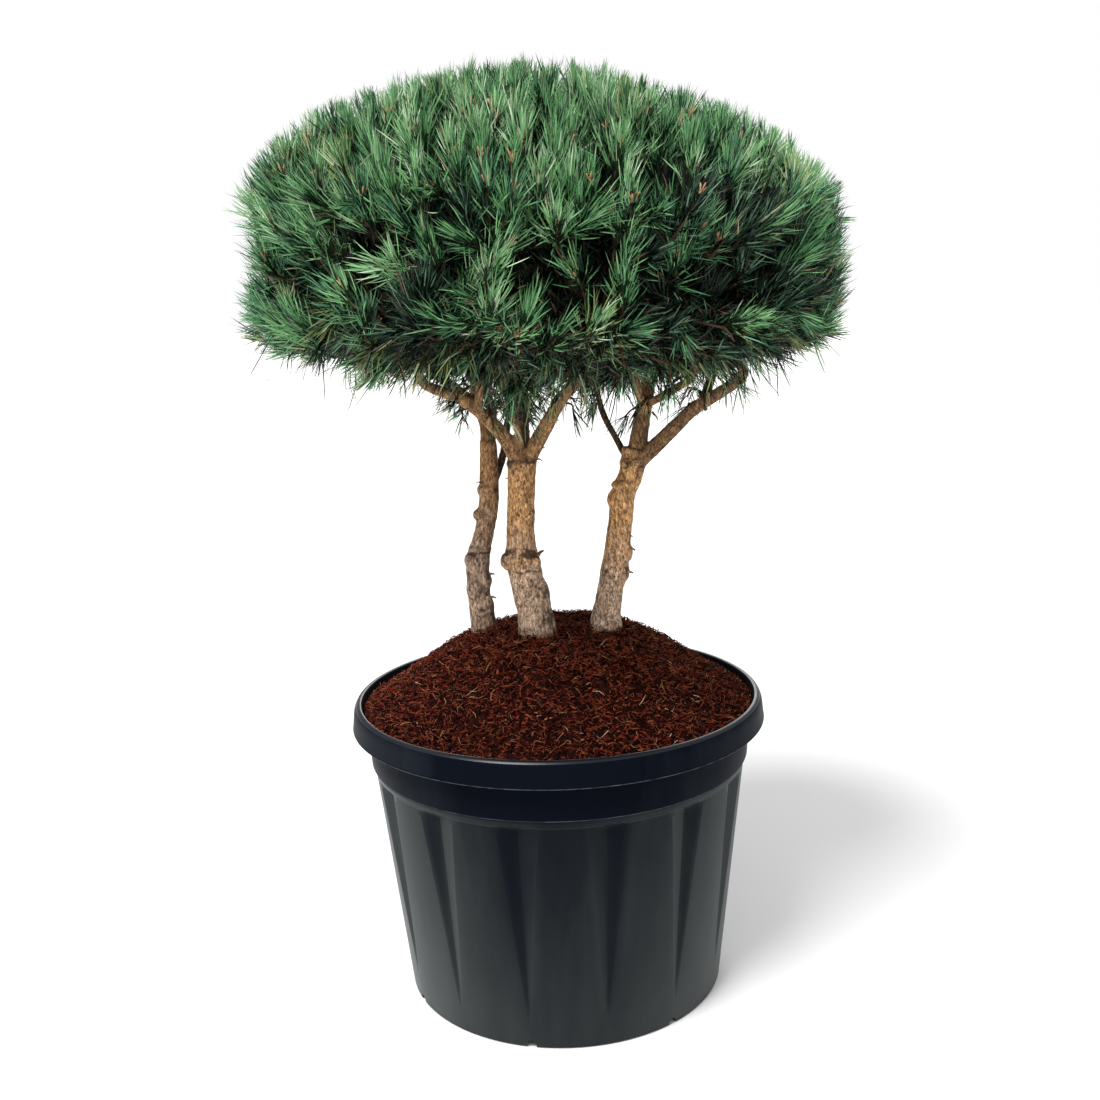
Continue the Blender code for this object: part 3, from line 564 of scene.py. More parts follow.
def mound_material(colour):
    """Dark bed under the loose fibres."""
    material, shader, add, link = new_material("mulch_bed")
    grain = patches(add, add("TexCoord").outputs["Object"], 260.0, 6.0, Roughness=0.75)
    tone = ramp(add, grain, (0.36, (0.003, 0.001, 0.0008)), (0.52, colour),
                (0.76, (0.085, 0.018, 0.009)))
    link(tone, shader.inputs["Base Color"])
    bump = add("Bump", Strength=1.0, Distance=0.003, Height=grain)
    link(bump.outputs["Normal"], shader.inputs["Normal"])
    shader.inputs["Roughness"].default_value = 0.95
    shader.inputs["Specular IOR Level"].default_value = 0.05
    return material


def plain_material(name, colour, roughness, specular=0.3):
    """One plain colour, for small things dealt out in several tones."""
    material, shader, _add, _link = new_material(name)
    shader.inputs["Base Color"].default_value = (*colour, 1.0)
    shader.inputs["Roughness"].default_value = roughness
    shader.inputs["Specular IOR Level"].default_value = specular
    return material


# Pot: turn of the first groove, heights of the grooves, ledge and lip, radius at the ledge and thickness
GROOVE_TURN = math.radians(-77.0)
GROOVE_FOOT = 0.046
GROOVE_TOP = 0.337
LEDGE = 0.347
LIP_FOOT = 0.400
PANEL_TOP = 0.2715
WALL = 0.004
# Vertices round the wall for each groove, and how many of them lie in its half
LANES = 14
GROOVE_LANES = 3
# Half of a groove's angle in degrees at its foot, and what it gains up to its top
GROOVE_HALF = (0.8, 5.4)
# Rounding of the pot's edges, and the angle from which an edge is rounded, hard, or crisp in a groove
EDGE_ROUNDING = 0.0007
ROUNDED_FROM = math.radians(32.0)
HARD_FROM = math.radians(34.0)
CRISP_FROM = math.radians(7.0)
# Mould line on the rim: its turn, width, thickness and rounding
SEAM_TURN = math.radians(-69.8)
SEAM_WIDTH = 0.0022
SEAM_THICKNESS = 0.0009
SEAM_ROUNDING = 0.0003
# Drainage notches: sides, radius, length inwards and height of their axis
NOTCH_SIDES = 28
NOTCH_RADIUS = 0.0072
NOTCH_LENGTH = 0.022
NOTCH_RISE = 0.0020


def panel_radius(base, height):
    """Radius of the wall's outside between the foot and the ledge."""
    return base + (PANEL_TOP - base) * height / LEDGE


# Rows of the wall: three at the foot, evenly up the grooves, then closer together where their tops run out
FOOT_ROWS = (0.0015, 0.010, 0.028)
GROOVE_ROWS = 12
EVEN_TOP = GROOVE_TOP - 0.022
TOP_ROWS = (0.0150, 0.0110, 0.0078, 0.0052, 0.0030, 0.0012, 0.0)
# Height over which a groove's top runs out
GROOVE_FADE = 0.0125


def pot_outline(settings):
    """The pot's outline up the outside, over the rim and down the inside, as radius and height."""
    base, lip, top = settings.base, settings.lip, settings.height
    even_rows = [
        GROOVE_FOOT + (EVEN_TOP - GROOVE_FOOT) * k / GROOVE_ROWS for k in range(GROOVE_ROWS + 1)]
    top_rows = [GROOVE_TOP - drop for drop in TOP_ROWS]
    wall = [(panel_radius(base, z), z) for z in (*FOOT_ROWS, *even_rows, *top_rows)]
    return ([(base - 0.0015, 0.0)] + wall + [
        (PANEL_TOP - 0.0002, GROOVE_TOP + 0.003), (PANEL_TOP + 0.0008, LEDGE - 0.0035),
        (PANEL_TOP + 0.0010, LEDGE - 0.0010), (PANEL_TOP + 0.0034, LEDGE + 0.0006),
        (PANEL_TOP + 0.0040, LEDGE + 0.0022), (0.2772, LEDGE + 0.025), (0.2786, LIP_FOOT - 0.004),
        (0.2795, LIP_FOOT + 0.002), (lip - 0.0045, LIP_FOOT + 0.0006), (lip - 0.0012, LIP_FOOT),
        (lip, LIP_FOOT + 0.0012), (lip - 0.0006, LIP_FOOT + 0.0040), (lip - 0.0022, top - 0.0160),
        (lip - 0.0030, top - 0.0105), (lip - 0.0042, top - 0.0068), (lip - 0.0058, top - 0.0038),
        (lip - 0.0078, top - 0.0016), (lip - 0.0100, top - 0.0004), (lip - 0.0118, top),
        (lip - 0.0134, top - 0.0010), (lip - 0.0145, top - 0.0035), (0.2842, LIP_FOOT + 0.0125),
        (0.2752, LIP_FOOT), (PANEL_TOP - WALL, LEDGE), (PANEL_TOP - WALL - 0.010, GROOVE_TOP)])


def groove_vertices(obj, settings):
    """Move the wall's vertices into tapering grooves, slanting in to a point at the foot."""
    pitch = math.tau / settings.grooves
    points = read_vertices(obj.data)
    radius = np.hypot(points[:, 0], points[:, 1])
    angle = np.arctan2(points[:, 1], points[:, 0]) - GROOVE_TURN
    index = np.rint(angle / (pitch / LANES)).astype(int)
    lane = ((index + LANES // 2) % LANES) - LANES // 2
    whole = (index - lane) // LANES
    height = points[:, 2]
    share = np.clip((height - GROOVE_FOOT) / (GROOVE_TOP - GROOVE_FOOT), 0.0, 1.0)
    half = np.radians(GROOVE_HALF[0] + GROOVE_HALF[1] * share)
    inner = np.abs(lane) <= GROOVE_LANES
    within = lane / GROOVE_LANES * half
    rest = (np.abs(lane) - GROOVE_LANES) / (LANES // 2 - GROOVE_LANES)
    beyond = np.sign(lane) * (half + (pitch / 2.0 - half) * rest)
    offset = np.where(inner, within, beyond)
    fall = np.clip(1.0 - np.abs(offset) / half, 0.0, 1.0) ** 0.85
    outside = radius > panel_radius(settings.base, height) - 0.002
    on_wall = (height < GROOVE_TOP + 0.0005) & (height > 0.001) & outside
    near_top = np.clip(1.0 - (GROOVE_TOP - height) / GROOVE_FADE, 0.0, 1.0)
    fade = np.sqrt(np.clip(1.0 - near_top ** 2, 0.0, 1.0))
    cut = np.where(on_wall & inner, settings.groove_depth * share ** 0.8 * fall * fade, 0.0)
    turned = GROOVE_TURN + whole * pitch + offset
    moved = np.stack([(radius - cut) * np.cos(turned), (radius - cut) * np.sin(turned), height], axis=1)
    obj.data.vertices.foreach_set("co", moved.ravel())
    obj.data.update()


def build_pot(settings):
    """The pot's shell: a ring extruded up its outline, grooved, notched at the foot and softened."""
    outline = pot_outline(settings)
    deselect()
    sides = settings.grooves * LANES
    radius, height = outline[0]
    bpy.ops.mesh.primitive_circle_add(
        vertices=sides, radius=radius, fill_type="NGON", location=(0.0, 0.0, height),
        rotation=(0.0, 0.0, GROOVE_TURN - math.pi / 2.0))
    pot = bpy.context.object
    pot.name = pot.data.name = "pot_shell"
    settle(pot)
    bpy.ops.object.mode_set(mode="EDIT")
    bpy.ops.mesh.select_all(action="SELECT")
    bpy.ops.mesh.delete(type="ONLY_FACE")
    bpy.ops.mesh.select_all(action="SELECT")
    for next_radius, next_height in outline[1:]:
        bpy.ops.mesh.extrude_edges_move(
            TRANSFORM_OT_translate={"value": (0.0, 0.0, next_height - height)})
        scale = next_radius / radius
        bpy.ops.transform.resize(value=(scale, scale, 1.0), center_override=(0.0, 0.0, next_height))
        radius, height = next_radius, next_height
    bpy.ops.mesh.edge_face_add()
    bpy.ops.mesh.select_all(action="DESELECT")
    bpy.ops.object.mode_set(mode="OBJECT")
    low = [v.co.z < 0.0005 for v in pot.data.vertices]
    pot.data.vertices.foreach_set("select", low)
    bpy.ops.object.mode_set(mode="EDIT")
    bpy.ops.mesh.select_mode(type="VERT")
    bpy.ops.mesh.edge_face_add()
    bpy.ops.mesh.select_all(action="SELECT")
    bpy.ops.mesh.normals_make_consistent(inside=False)
    bpy.ops.object.mode_set(mode="OBJECT")
    groove_vertices(pot, settings)
    cut_notches(pot, settings)
    softened = pot.modifiers.new("edges", "BEVEL")
    softened.width = EDGE_ROUNDING
    softened.segments = 2
    softened.limit_method = "ANGLE"
    softened.angle_limit = ROUNDED_FROM
    apply_all(pot)
    # Write the wall's painted reflection and the grooves' painted shade at its vertices
    mark_dust(pot, settings.base)
    add_seam(pot, settings)
    activate(pot)
    bpy.ops.object.shade_smooth_by_angle(angle=HARD_FROM)
    crease_grooves(pot)
    return pot


def crease_grooves(pot):
    """Keep the grooves' edges and valleys crisp on the outside of the wall."""
    activate(pot)
    outside = [
        GROOVE_FOOT < v.co.z < GROOVE_TOP - 0.006 and v.normal.xy.dot(v.co.xy) > 0.0
        for v in pot.data.vertices]
    bpy.ops.object.mode_set(mode="EDIT")
    bpy.ops.mesh.select_all(action="DESELECT")
    bpy.ops.object.mode_set(mode="OBJECT")
    pot.data.vertices.foreach_set("select", outside)
    bpy.ops.object.mode_set(mode="EDIT")
    bpy.ops.mesh.hide(unselected=True)
    bpy.ops.mesh.select_all(action="DESELECT")
    bpy.ops.mesh.edges_select_sharp(sharpness=CRISP_FROM)
    bpy.ops.mesh.mark_sharp()
    bpy.ops.mesh.reveal(select=False)
    bpy.ops.object.mode_set(mode="OBJECT")


# Painted light on the wall: painted reflection on the pot's sides, lighter panels beside the painted shade
# in the grooves, and painted reflection towards the foot, with the height it is full to and fades over
SIDE_PAINTED_REFLECTION = 0.49
PANEL_PAINTED_LIGHT = 0.13
FOOT_PAINTED_REFLECTION = 0.27
FOOT_REFLECTION_HEIGHT = 0.02
FOOT_REFLECTION_FADE = 0.28


def mark_dust(pot, base):
    """Write the pot's painted light: lighter on its sides and towards the foot as painted reflection,
    darker in the grooves as painted shade.
    """
    points, normals = read_vertices(pot.data), read_vertices(pot.data, "normal")
    height = points[:, 2]
    low = 1.0 - np.clip((height - FOOT_REFLECTION_HEIGHT) / FOOT_REFLECTION_FADE, 0.0, 1.0)
    sunk = panel_radius(base, height) - np.hypot(points[:, 0], points[:, 1])
    panel = np.where(height < GROOVE_TOP, 1.0 - np.clip(sunk / 0.0012, 0.0, 1.0), 0.0)
    dust = SIDE_PAINTED_REFLECTION * np.abs(normals[:, 0]) ** 1.35 + PANEL_PAINTED_LIGHT * panel + FOOT_PAINTED_REFLECTION * low
    mark_vertices(pot.data, "dust", np.clip(dust, 0.0, 1.0))


def add_seam(pot, settings):
    """The thin raised mould line down the rim's face."""
    low, high = LIP_FOOT + 0.0030, settings.height - 0.0070
    radius = settings.lip - 0.0016
    deselect()
    bpy.ops.mesh.primitive_cube_add(
        size=1.0, scale=(SEAM_WIDTH, SEAM_THICKNESS, high - low), rotation=(0.0, 0.0, SEAM_TURN),
        location=(radius * math.cos(SEAM_TURN), radius * math.sin(SEAM_TURN), 0.5 * (low + high)))
    seam = bpy.context.object
    settle(seam)
    edges = seam.modifiers.new("edges", "BEVEL")
    edges.width = SEAM_ROUNDING
    edges.segments = 2
    apply_all(seam)
    join([pot, seam])


def cut_notches(pot, settings):
    """Round-topped drainage notches under every second groove."""
    pitch = math.tau / settings.grooves
    cutters = []
    for k in range(settings.grooves // 2):
        angle = GROOVE_TURN - pitch + 2.0 * k * pitch
        deselect()
        bpy.ops.mesh.primitive_cylinder_add(
            vertices=NOTCH_SIDES, radius=NOTCH_RADIUS, depth=NOTCH_LENGTH,
            location=(settings.base * math.cos(angle), settings.base * math.sin(angle), NOTCH_RISE),
            rotation=(0.0, math.pi / 2.0, angle))
        cutter = bpy.context.object
        settle(cutter)
        cutters.append(cutter)
    for cutter in cutters:
        cut = pot.modifiers.new("notch", "BOOLEAN")
        cut.operation = "DIFFERENCE"
        cut.object = cutter
        cut.solver = "EXACT"
    apply_all(pot)
    for cutter in cutters:
        bpy.data.objects.remove(cutter)


def curve_through(points, spacing):
    """Points at even steps along a smooth curve through the given ones, with their share of the way."""
    path = [Vector(p) for p in points]
    path = [2.0 * path[0] - path[1]] + path + [2.0 * path[-1] - path[-2]]
    found = []
    spans = len(path) - 3
    for i in range(spans):
        a, b, c, d = path[i:i + 4]
        steps = max(1, round((c - b).length / spacing))
        for k in range(steps):
            t = k / steps
            point = 0.5 * (2.0 * b + (c - a) * t + (2.0 * a - 5.0 * b + 4.0 * c - d) * t * t
                           + (3.0 * b - a - 3.0 * c + d) * t ** 3)
            found.append((point, (i + t) / spans))
    found.append((path[-2].copy(), 1.0))
    return found


def lay_out_masses():
    """Every foliage mass with its centre and size, by the rule that the solids follow."""
    masses = {}
    for names, (turn, radius, height, size) in ((LOW_NAMES, LOW_RING), (HIGH_NAMES, HIGH_RING)):
        for k, name in enumerate(names):
            angle = turn + k * math.tau / len(names)
            centre = Vector((radius * math.cos(angle), radius * math.sin(angle), height))
            masses[name] = {"centre": centre, "size": size}
    for name, (centre, size) in {"top_mass": TOP_MASS, **INNER_MASSES}.items():
        masses[name] = {"centre": Vector(centre), "size": size}
    return masses


MASSES = lay_out_masses()


def bough_axis(name, spacing):
    """A bough's axis, run on to just short of its mass, with its radius at each point."""
    _trunk, first, final, mass, points = BOUGHS[name]
    centre = MASSES[mass]["centre"]
    last = Vector(points[-1])
    way = (centre - last).normalized()
    tip = centre - way * min(STEM_REACH, STEM_SHARE * MASSES[mass]["size"])
    onward = list(points)
    if (tip - last).dot(way) > LEAST_RUN:
        onward.append(tuple(tip))
    path = curve_through(onward, spacing)
    return [(point, first + (final - first) * share ** TAPER_POWER) for point, share in path]


def trunk_axis(name, spacing):
    """A trunk's axis with its radius at each point."""
    stations = TRUNKS[name]
    spans = len(stations) - 1
    found = []
    for point, share in curve_through([s[:3] for s in stations], spacing):
        i = min(int(share * spans), spans - 1)
        part = share * spans - i
        found.append((point, stations[i][3] * (1.0 - part) + stations[i + 1][3] * part))
    return found


def limb_curve(axis, name):
    """A limb as a tapering curve with closed ends, made a mesh."""
    data = bpy.data.curves.new(name, "CURVE")
    data.dimensions = "3D"
    data.bevel_depth = 1.0
    data.bevel_resolution = 5
    data.use_fill_caps = True
    spline = data.splines.new("POLY")
    spline.points.add(len(axis) - 1)
    for point, (place_on_axis, radius) in zip(spline.points, axis):
        point.co = (*place_on_axis, 1.0)
        point.radius = radius
    obj = bpy.data.objects.new(name, data)
    bpy.context.scene.collection.objects.link(obj)
    activate(obj)
    bpy.ops.object.convert(target="MESH")
    return bpy.context.object


# Relief of the bark: pattern scale and depth of its lumps, and of its flakes and scales across and along
BARK_LUMPS = (42.0, 1.25)
BARK_FLAKES = (210.0, 75.0, 0.95)
BARK_SCALES = (380.0, 170.0, 0.55)


def bark_relief(obj, depth):
    """Raise tall flakes and sink cracks between them, with broad lumps below them."""
    mesh = obj.data
    points, normals = read_vertices(mesh), read_vertices(mesh, "normal")
    push = np.empty(len(points))
    for i, (x, y, z) in enumerate(points):
        every_way, lumps = BARK_LUMPS
        lump = noise.noise(Vector((x, y, z)) * every_way)
        across, along, flakes = BARK_FLAKES
        flake = noise.noise(Vector((x * across, y * across, z * along + 3.0 * lump)))
        across, along, scales = BARK_SCALES
        scale = noise.noise(Vector((x * across, y * across, z * along)))
        low = min(max((0.82 - z) / 0.20, 0.40), 1.0)
        push[i] = depth * low * (lumps * lump + flakes * flake + scales * scale)
    moved = points + normals * push[:, None]
    mesh.vertices.foreach_set("co", moved.ravel())
    mesh.update()


def mark_bark(obj, trunk, spurs_from):
    """Write how dark and how scarred the bark is: the nearest limb's darkness with its painted shade,
    painted shade on the trunk's right side, the scars and the spurs.
    """
    rows = [(point, BOUGH_SHADES.get(trunk, 0.0)) for point, _radius in trunk_axis(trunk, STEM_STEP)]
    for name, row in BOUGHS.items():
        if row[0] == trunk:
            axis = bough_axis(name, STEM_STEP)
            shade = BOUGH_SHADES[name]
            rows += [
                (point, shade * min(1.0, 0.35 + k / 4.0)) for k, (point, _radius) in enumerate(axis)]
    tree = kdtree.KDTree(len(rows))
    for k, (point, _shade) in enumerate(rows):
        tree.insert(point, k)
    tree.balance()
    mesh = obj.data
    shades = np.zeros(len(mesh.vertices))
    scars = np.zeros(len(mesh.vertices))
    for i, vert in enumerate(mesh.vertices):
        near = tree.find_n(vert.co, 3)
        ragged = noise.noise(vert.co * 150.0) + 0.5 * noise.noise(vert.co * 340.0)
        broad = noise.noise(vert.co * 55.0)
        shades[i] = sum(rows[k][1] for _co, k, _gap in near) / len(near) * (0.86 + 0.25 * ragged)
        # Painted shade on the trunk's right side
        shades[i] += PAINTED_SIDE_SHADE[trunk] * max(0.0, vert.normal.x - 0.15) * (1.0 + 0.6 * ragged)
        scar = 0.0 if i < spurs_from else 0.40 + 0.3 * ragged
        for centre, radius in SCARS[trunk]:
            gap = (vert.co - Vector(centre)).length / radius
            scar = max(scar, 0.95 - gap + 0.95 * ragged)
        for height, half in SCAR_RINGS[trunk]:
            gap = abs(vert.co.z - height + 0.0050 * broad) / half
            scar = max(scar, 0.95 - gap + 0.95 * ragged + 1.1 * broad)
        scars[i] = 0.88 * min(max(1.5 * scar, 0.0), 1.0)
    mark_vertices(mesh, "shade", np.clip(shades, 0.0, 1.0))
    mark_vertices(mesh, "scar", scars)


# A spur's thickness at its start, foot, bend and end, and how far its bend is raised
SPUR_TAPER = (1.0, 0.95, 0.62, 0.36)
SPUR_RISE = 0.0018


def build_spurs(trunk):
    """The trunk's short dead spurs, each bent and tapering from inside the bark."""
    spurs = []
    for foot, end, radius in SPURS[trunk]:
        foot, end = Vector(foot), Vector(end)
        way = end - foot
        start = foot - 0.4 * way
        bend = foot + 0.55 * way + Vector((0.0, 0.0, SPUR_RISE))
        stops = (start, foot, bend, end)
        axis = [(stop, share * radius) for stop, share in zip(stops, SPUR_TAPER)]
        spurs.append(limb_curve(axis, "spur"))
    return spurs


# How strongly and how many times the skin of bark is smoothed
SKIN_SMOOTHING = 0.6
SKIN_PASSES = 6


def build_stems(trunk, settings, material):
    """One trunk with its boughs, knots and spurs grown together under one skin of bark."""
    parts = [limb_curve(trunk_axis(trunk, STEM_STEP), trunk)]
    for name, row in BOUGHS.items():
        if row[0] == trunk:
            parts.append(limb_curve(bough_axis(name, STEM_STEP), name))
    for centre, sizes in KNOTS[trunk]:
        deselect()
        bpy.ops.mesh.primitive_ico_sphere_add(subdivisions=3, radius=1.0, location=centre, scale=sizes)
        settle(bpy.context.object)
        parts.append(bpy.context.object)
    stems = join(parts)
    stems.name = stems.data.name = trunk.replace("_trunk", "_stems")
    skin = stems.modifiers.new("skin", "REMESH")
    skin.mode = "VOXEL"
    skin.voxel_size = settings.grain
    soft = stems.modifiers.new("soft", "SMOOTH")
    soft.factor = SKIN_SMOOTHING
    soft.iterations = SKIN_PASSES
    apply_all(stems)
    bark_relief(stems, settings.relief)
    spurs_from = len(stems.data.vertices)
    stems = join([stems] + build_spurs(trunk))
    mark_bark(stems, trunk, spurs_from)
    stems.data.materials.clear()
    stems.data.materials.append(material)
    stems.data.shade_smooth()
    return stems


# Mound: radius of its plateau, how it rises, its edge and the edge's height, its sides and rings
MOUND_PLATEAU = 0.082
MOUND_POWER = 1.48
MOUND_EDGE = LIP_REACH - 0.0155
MOUND_EDGE_HEIGHT = POT_TOP - 0.012
MOUND_SIDES = 180
MOUND_RINGS = 46
# Bed under the mound: height of its foot, its thickness, its top and how much narrower its foot is
BED_FOOT = 0.380
BED_RISE = 0.030
BED_TOP = 0.410
BED_NARROWING = 0.965
# Edge of the loose fibres and chips, corners of a chip and the seed they are scattered with
LITTER_EDGE = LIP_REACH - 0.018
CHIP_SIDES = 5
LITTER_SEED = 21
# Dips and clumps of the mound: centre, radius and height
MOUND_BUMPS = (
    ((-0.236, 0.150), 0.040, -0.0120), ((-0.190, 0.172), 0.015, 0.0120),
    ((-0.060, -0.150), 0.050, 0.0050), ((0.120, -0.110), 0.045, 0.0040),
    ((0.050, 0.060), 0.030, 0.0060), ((-0.150, -0.060), 0.050, 0.0040),
    ((0.040, -0.010), 0.016, 0.0095), ((-0.068, 0.010), 0.016, 0.0100),
    ((0.010, -0.010), 0.014, 0.0070),
)


def mound_height(x, y):
    """Height of the mulch's surface, without its small lumps."""
    share = np.clip((MOUND_EDGE - np.hypot(x, y)) / (MOUND_EDGE - MOUND_PLATEAU), 0.0, 1.0)
    rise = GROUND - 0.002 - MOUND_EDGE_HEIGHT
    height = MOUND_EDGE_HEIGHT + rise * np.sin(share * math.pi / 2.0) ** MOUND_POWER
    for centre, radius, bump in MOUND_BUMPS:
        height = height + bump * np.exp(-((x - centre[0]) ** 2 + (y - centre[1]) ** 2) / radius ** 2)
    return height


def build_mound(settings, material):
    """The lumpy bed of mulch, from the rim up to the trunks."""
    deselect()
    bpy.ops.mesh.primitive_circle_add(
        vertices=MOUND_SIDES, radius=MOUND_EDGE, fill_type="NOTHING", location=(0.0, 0.0, BED_FOOT))
    mound = bpy.context.object
    mound.name = mound.data.name = "mulch_mound"
    settle(mound)
    bpy.ops.object.mode_set(mode="EDIT")
    bpy.ops.mesh.select_all(action="SELECT")
    bpy.ops.transform.resize(
        value=(BED_NARROWING, BED_NARROWING, 1.0), center_override=(0.0, 0.0, BED_FOOT))
    bpy.ops.mesh.edge_face_add()
    bpy.ops.mesh.extrude_region_move(TRANSFORM_OT_translate={"value": (0.0, 0.0, BED_RISE)})
    bpy.ops.transform.resize(
        value=(1.0 / BED_NARROWING, 1.0 / BED_NARROWING, 1.0), center_override=(0.0, 0.0, BED_TOP))
    radius = MOUND_EDGE
    for k in range(1, MOUND_RINGS):
        step = MOUND_EDGE * (1.0 - k / MOUND_RINGS)
        bpy.ops.mesh.inset(thickness=0.0, depth=0.0)
        bpy.ops.transform.resize(
            value=(step / radius, step / radius, 1.0), center_override=(0.0, 0.0, BED_TOP))
        radius = step
    bpy.ops.mesh.normals_make_consistent(inside=False)
    bpy.ops.object.mode_set(mode="OBJECT")
    mesh = mound.data
    for vert in mesh.vertices:
        x, y, z = vert.co
        if z < BED_TOP - 0.005:
            continue
        lump = noise.fractal(Vector((x, y, 0.3)) * 26.0, 0.6, 2.1, 5)
        fine = noise.noise(Vector((x, y, 1.7)) * 150.0)
        calm = min(1.0, (MOUND_EDGE - math.hypot(x, y)) / 0.02)
        rough = calm * settings.roughness * (0.75 * lump + 0.35 * fine)
        vert.co.z = float(mound_height(x, y)) + rough - 0.002
    mesh.update()
    mesh.materials.append(material)
    mesh.shade_smooth()
    return mound


def tubes(starts, ends, widths, sides=3, bend=None, taper=0.35):
    """Many thin tapering prisms at once, bent at the middle, as points and triangles."""
    starts, ends = np.asarray(starts), np.asarray(ends)
    widths = np.asarray(widths)
    count = len(starts)
    along = unit(ends - starts)
    helper = np.where(np.abs(along[:, 2:3]) > 0.9, [[1.0, 0.0, 0.0]], [[0.0, 0.0, 1.0]])
    side = unit(np.cross(along, helper))
    other = np.cross(along, side)
    middles = 0.5 * (starts + ends) + (0.0 if bend is None else bend)
    rings = []
    for centre, scale in ((starts, 1.0), (middles, 0.5 * (1.0 + taper)), (ends, taper)):
        for k in range(sides):
            angle = math.tau * k / sides
            out = math.cos(angle) * side + math.sin(angle) * other
            rings.append(centre + scale * widths[:, None] * out)
    points = np.stack(rings, axis=1).reshape(-1, 3)
    pattern = []
    for level in range(2):
        for k in range(sides):
            a, b = level * sides + k, level * sides + (k + 1) % sides
            c, d = a + sides, b + sides
            pattern += [(a, b, d), (a, d, c)]
    for k in range(1, sides - 1):
        pattern += [(0, k + 1, k), (2 * sides, 2 * sides + k, 2 * sides + k + 1)]
    faces = (np.array(pattern)[None] + 3 * sides * np.arange(count)[:, None, None]).reshape(-1, 3)
    return points, faces


# Loose mulch in its tones: name, colour and share of the whole
MULCH_TONES = (
    ("dark", (0.0050, 0.0014, 0.0012), 0.34),
    ("red", (0.1400, 0.0215, 0.0115), 0.36),
    ("brown", (0.2050, 0.0540, 0.0235), 0.274),
    ("tan", (0.320, 0.1400, 0.0600), 0.022),
    ("pale", (0.560, 0.3900, 0.2500), 0.004),
)


# Fibres: length, half width, lift off the mound, dip and bend, and how much longer the light ones are
FIBRE_LENGTH = (0.004, 0.013)
FIBRE_WIDTH = (0.00035, 0.00095)
FIBRE_LIFT = (-0.0015, 0.0070)
FIBRE_DIP = 0.42
FIBRE_BEND = 0.16
LIGHT_TONES = ("tan", "pale")
LIGHT_LENGTH = 1.6
# Chips: half length, half width, half thickness and lift off the mound, and their two tilts
CHIP_LENGTH = (0.0030, 0.0085)
CHIP_WIDTH = (0.0010, 0.0026)
CHIP_THICKNESS = (0.0003, 0.0008)
CHIP_LIFT = (0.001, 0.0045)
CHIP_TILTS = (0.45, 0.35)


def build_litter(settings):
    """Loose fibres and chips scattered over the mound, a piece for each tone."""
    rng = np.random.default_rng(LITTER_SEED)
    made = []
    edge = LITTER_EDGE
    for tone, colour, share in MULCH_TONES:
        count = int(settings.fibres * share)
        radius = edge * np.sqrt(rng.uniform(0.0, 1.0, count))
        turn = rng.uniform(0.0, math.tau, count)
        x, y = radius * np.cos(turn), radius * np.sin(turn)
        lift = rng.uniform(*FIBRE_LIFT, count)
        z = mound_height(x, y) + lift * np.clip((edge - radius) / 0.02, 0.2, 1.0)
        length = rng.uniform(*FIBRE_LENGTH, count) * (LIGHT_LENGTH if tone in LIGHT_TONES else 1.0)
        heading = rng.uniform(0.0, math.tau, count)
        dip = rng.normal(0.0, FIBRE_DIP, count)
        level = np.cos(dip)
        way = np.stack([np.cos(heading) * level, np.sin(heading) * level, np.sin(dip)], axis=1)
        middle = np.stack([x, y, z], axis=1)
        starts, ends = middle - way * length[:, None] / 2.0, middle + way * length[:, None] / 2.0
        for spots in (starts, ends):
            reach = np.hypot(spots[:, 0], spots[:, 1])
            shrink = np.minimum(1.0, edge / np.maximum(reach, 1e-6))
            spots[:, :2] *= shrink[:, None]
            ground = mound_height(spots[:, 0], spots[:, 1])
            spots[:, 2] = np.clip(spots[:, 2], ground - 0.002, ground + 0.011)
        bend = rng.normal(0.0, FIBRE_BEND, (count, 3)) * length[:, None]
        widths = rng.uniform(*FIBRE_WIDTH, count) * (0.75 if tone == "pale" else 1.0)
        points, faces = tubes(starts, ends, widths, bend=bend, taper=0.5)
        chip_points, chip_faces = chip_arrays(rng, int(settings.chips * share))
        faces = np.concatenate([faces, chip_faces + len(points)])
        points = np.concatenate([points, chip_points])
        litter = mesh_object("mulch_fibres_" + tone, points, faces)
        litter.data.materials.append(plain_material("mulch_" + tone, colour, 0.85, 0.06))
        made.append(litter)
    return made


def chip_arrays(rng, count):
    """Thin torn flakes of bark lying on the mound, each a slanted five-sided plate."""
    points, faces = [], []
    sides = CHIP_SIDES
    for k in range(count):
        radius = LITTER_EDGE * 0.96 * math.sqrt(rng.uniform())
        turn = rng.uniform(0.0, math.tau)
        x, y = radius * math.cos(turn), radius * math.sin(turn)
        centre = Vector((x, y, float(mound_height(x, y)) + rng.uniform(*CHIP_LIFT)))
        half_length, half_width = rng.uniform(*CHIP_LENGTH), rng.uniform(*CHIP_WIDTH)
        thickness = rng.uniform(*CHIP_THICKNESS)
        spin = Matrix.Rotation(rng.uniform(0.0, math.tau), 3, "Z")
        for tilt, axis in zip(CHIP_TILTS, "XY"):
            spin = spin @ Matrix.Rotation(rng.normal(0.0, tilt), 3, axis)
        corners = [
            (rng.uniform(0.65, 1.0) * half_length * math.cos(math.tau * s / sides),
             rng.uniform(0.6, 1.0) * half_width * math.sin(math.tau * s / sides))
            for s in range(sides)]
        for level in (-thickness, thickness):
            points += [centre + spin @ Vector((across, beside, level)) for across, beside in corners]
        first = 2 * sides * k
        for s in range(sides):
            j = (s + 1) % sides
            faces += [(first + s, first + j, first + sides + j),
                      (first + s, first + sides + j, first + sides + s)]
        for s in range(1, sides - 1):
            faces += [(first, first + s + 1, first + s),
                      (first + sides, first + sides + s, first + sides + s + 1)]
    spots = np.array([tuple(p) for p in points])
    return spots.reshape(-1, 3), np.array(faces, dtype=int).reshape(-1, 3)


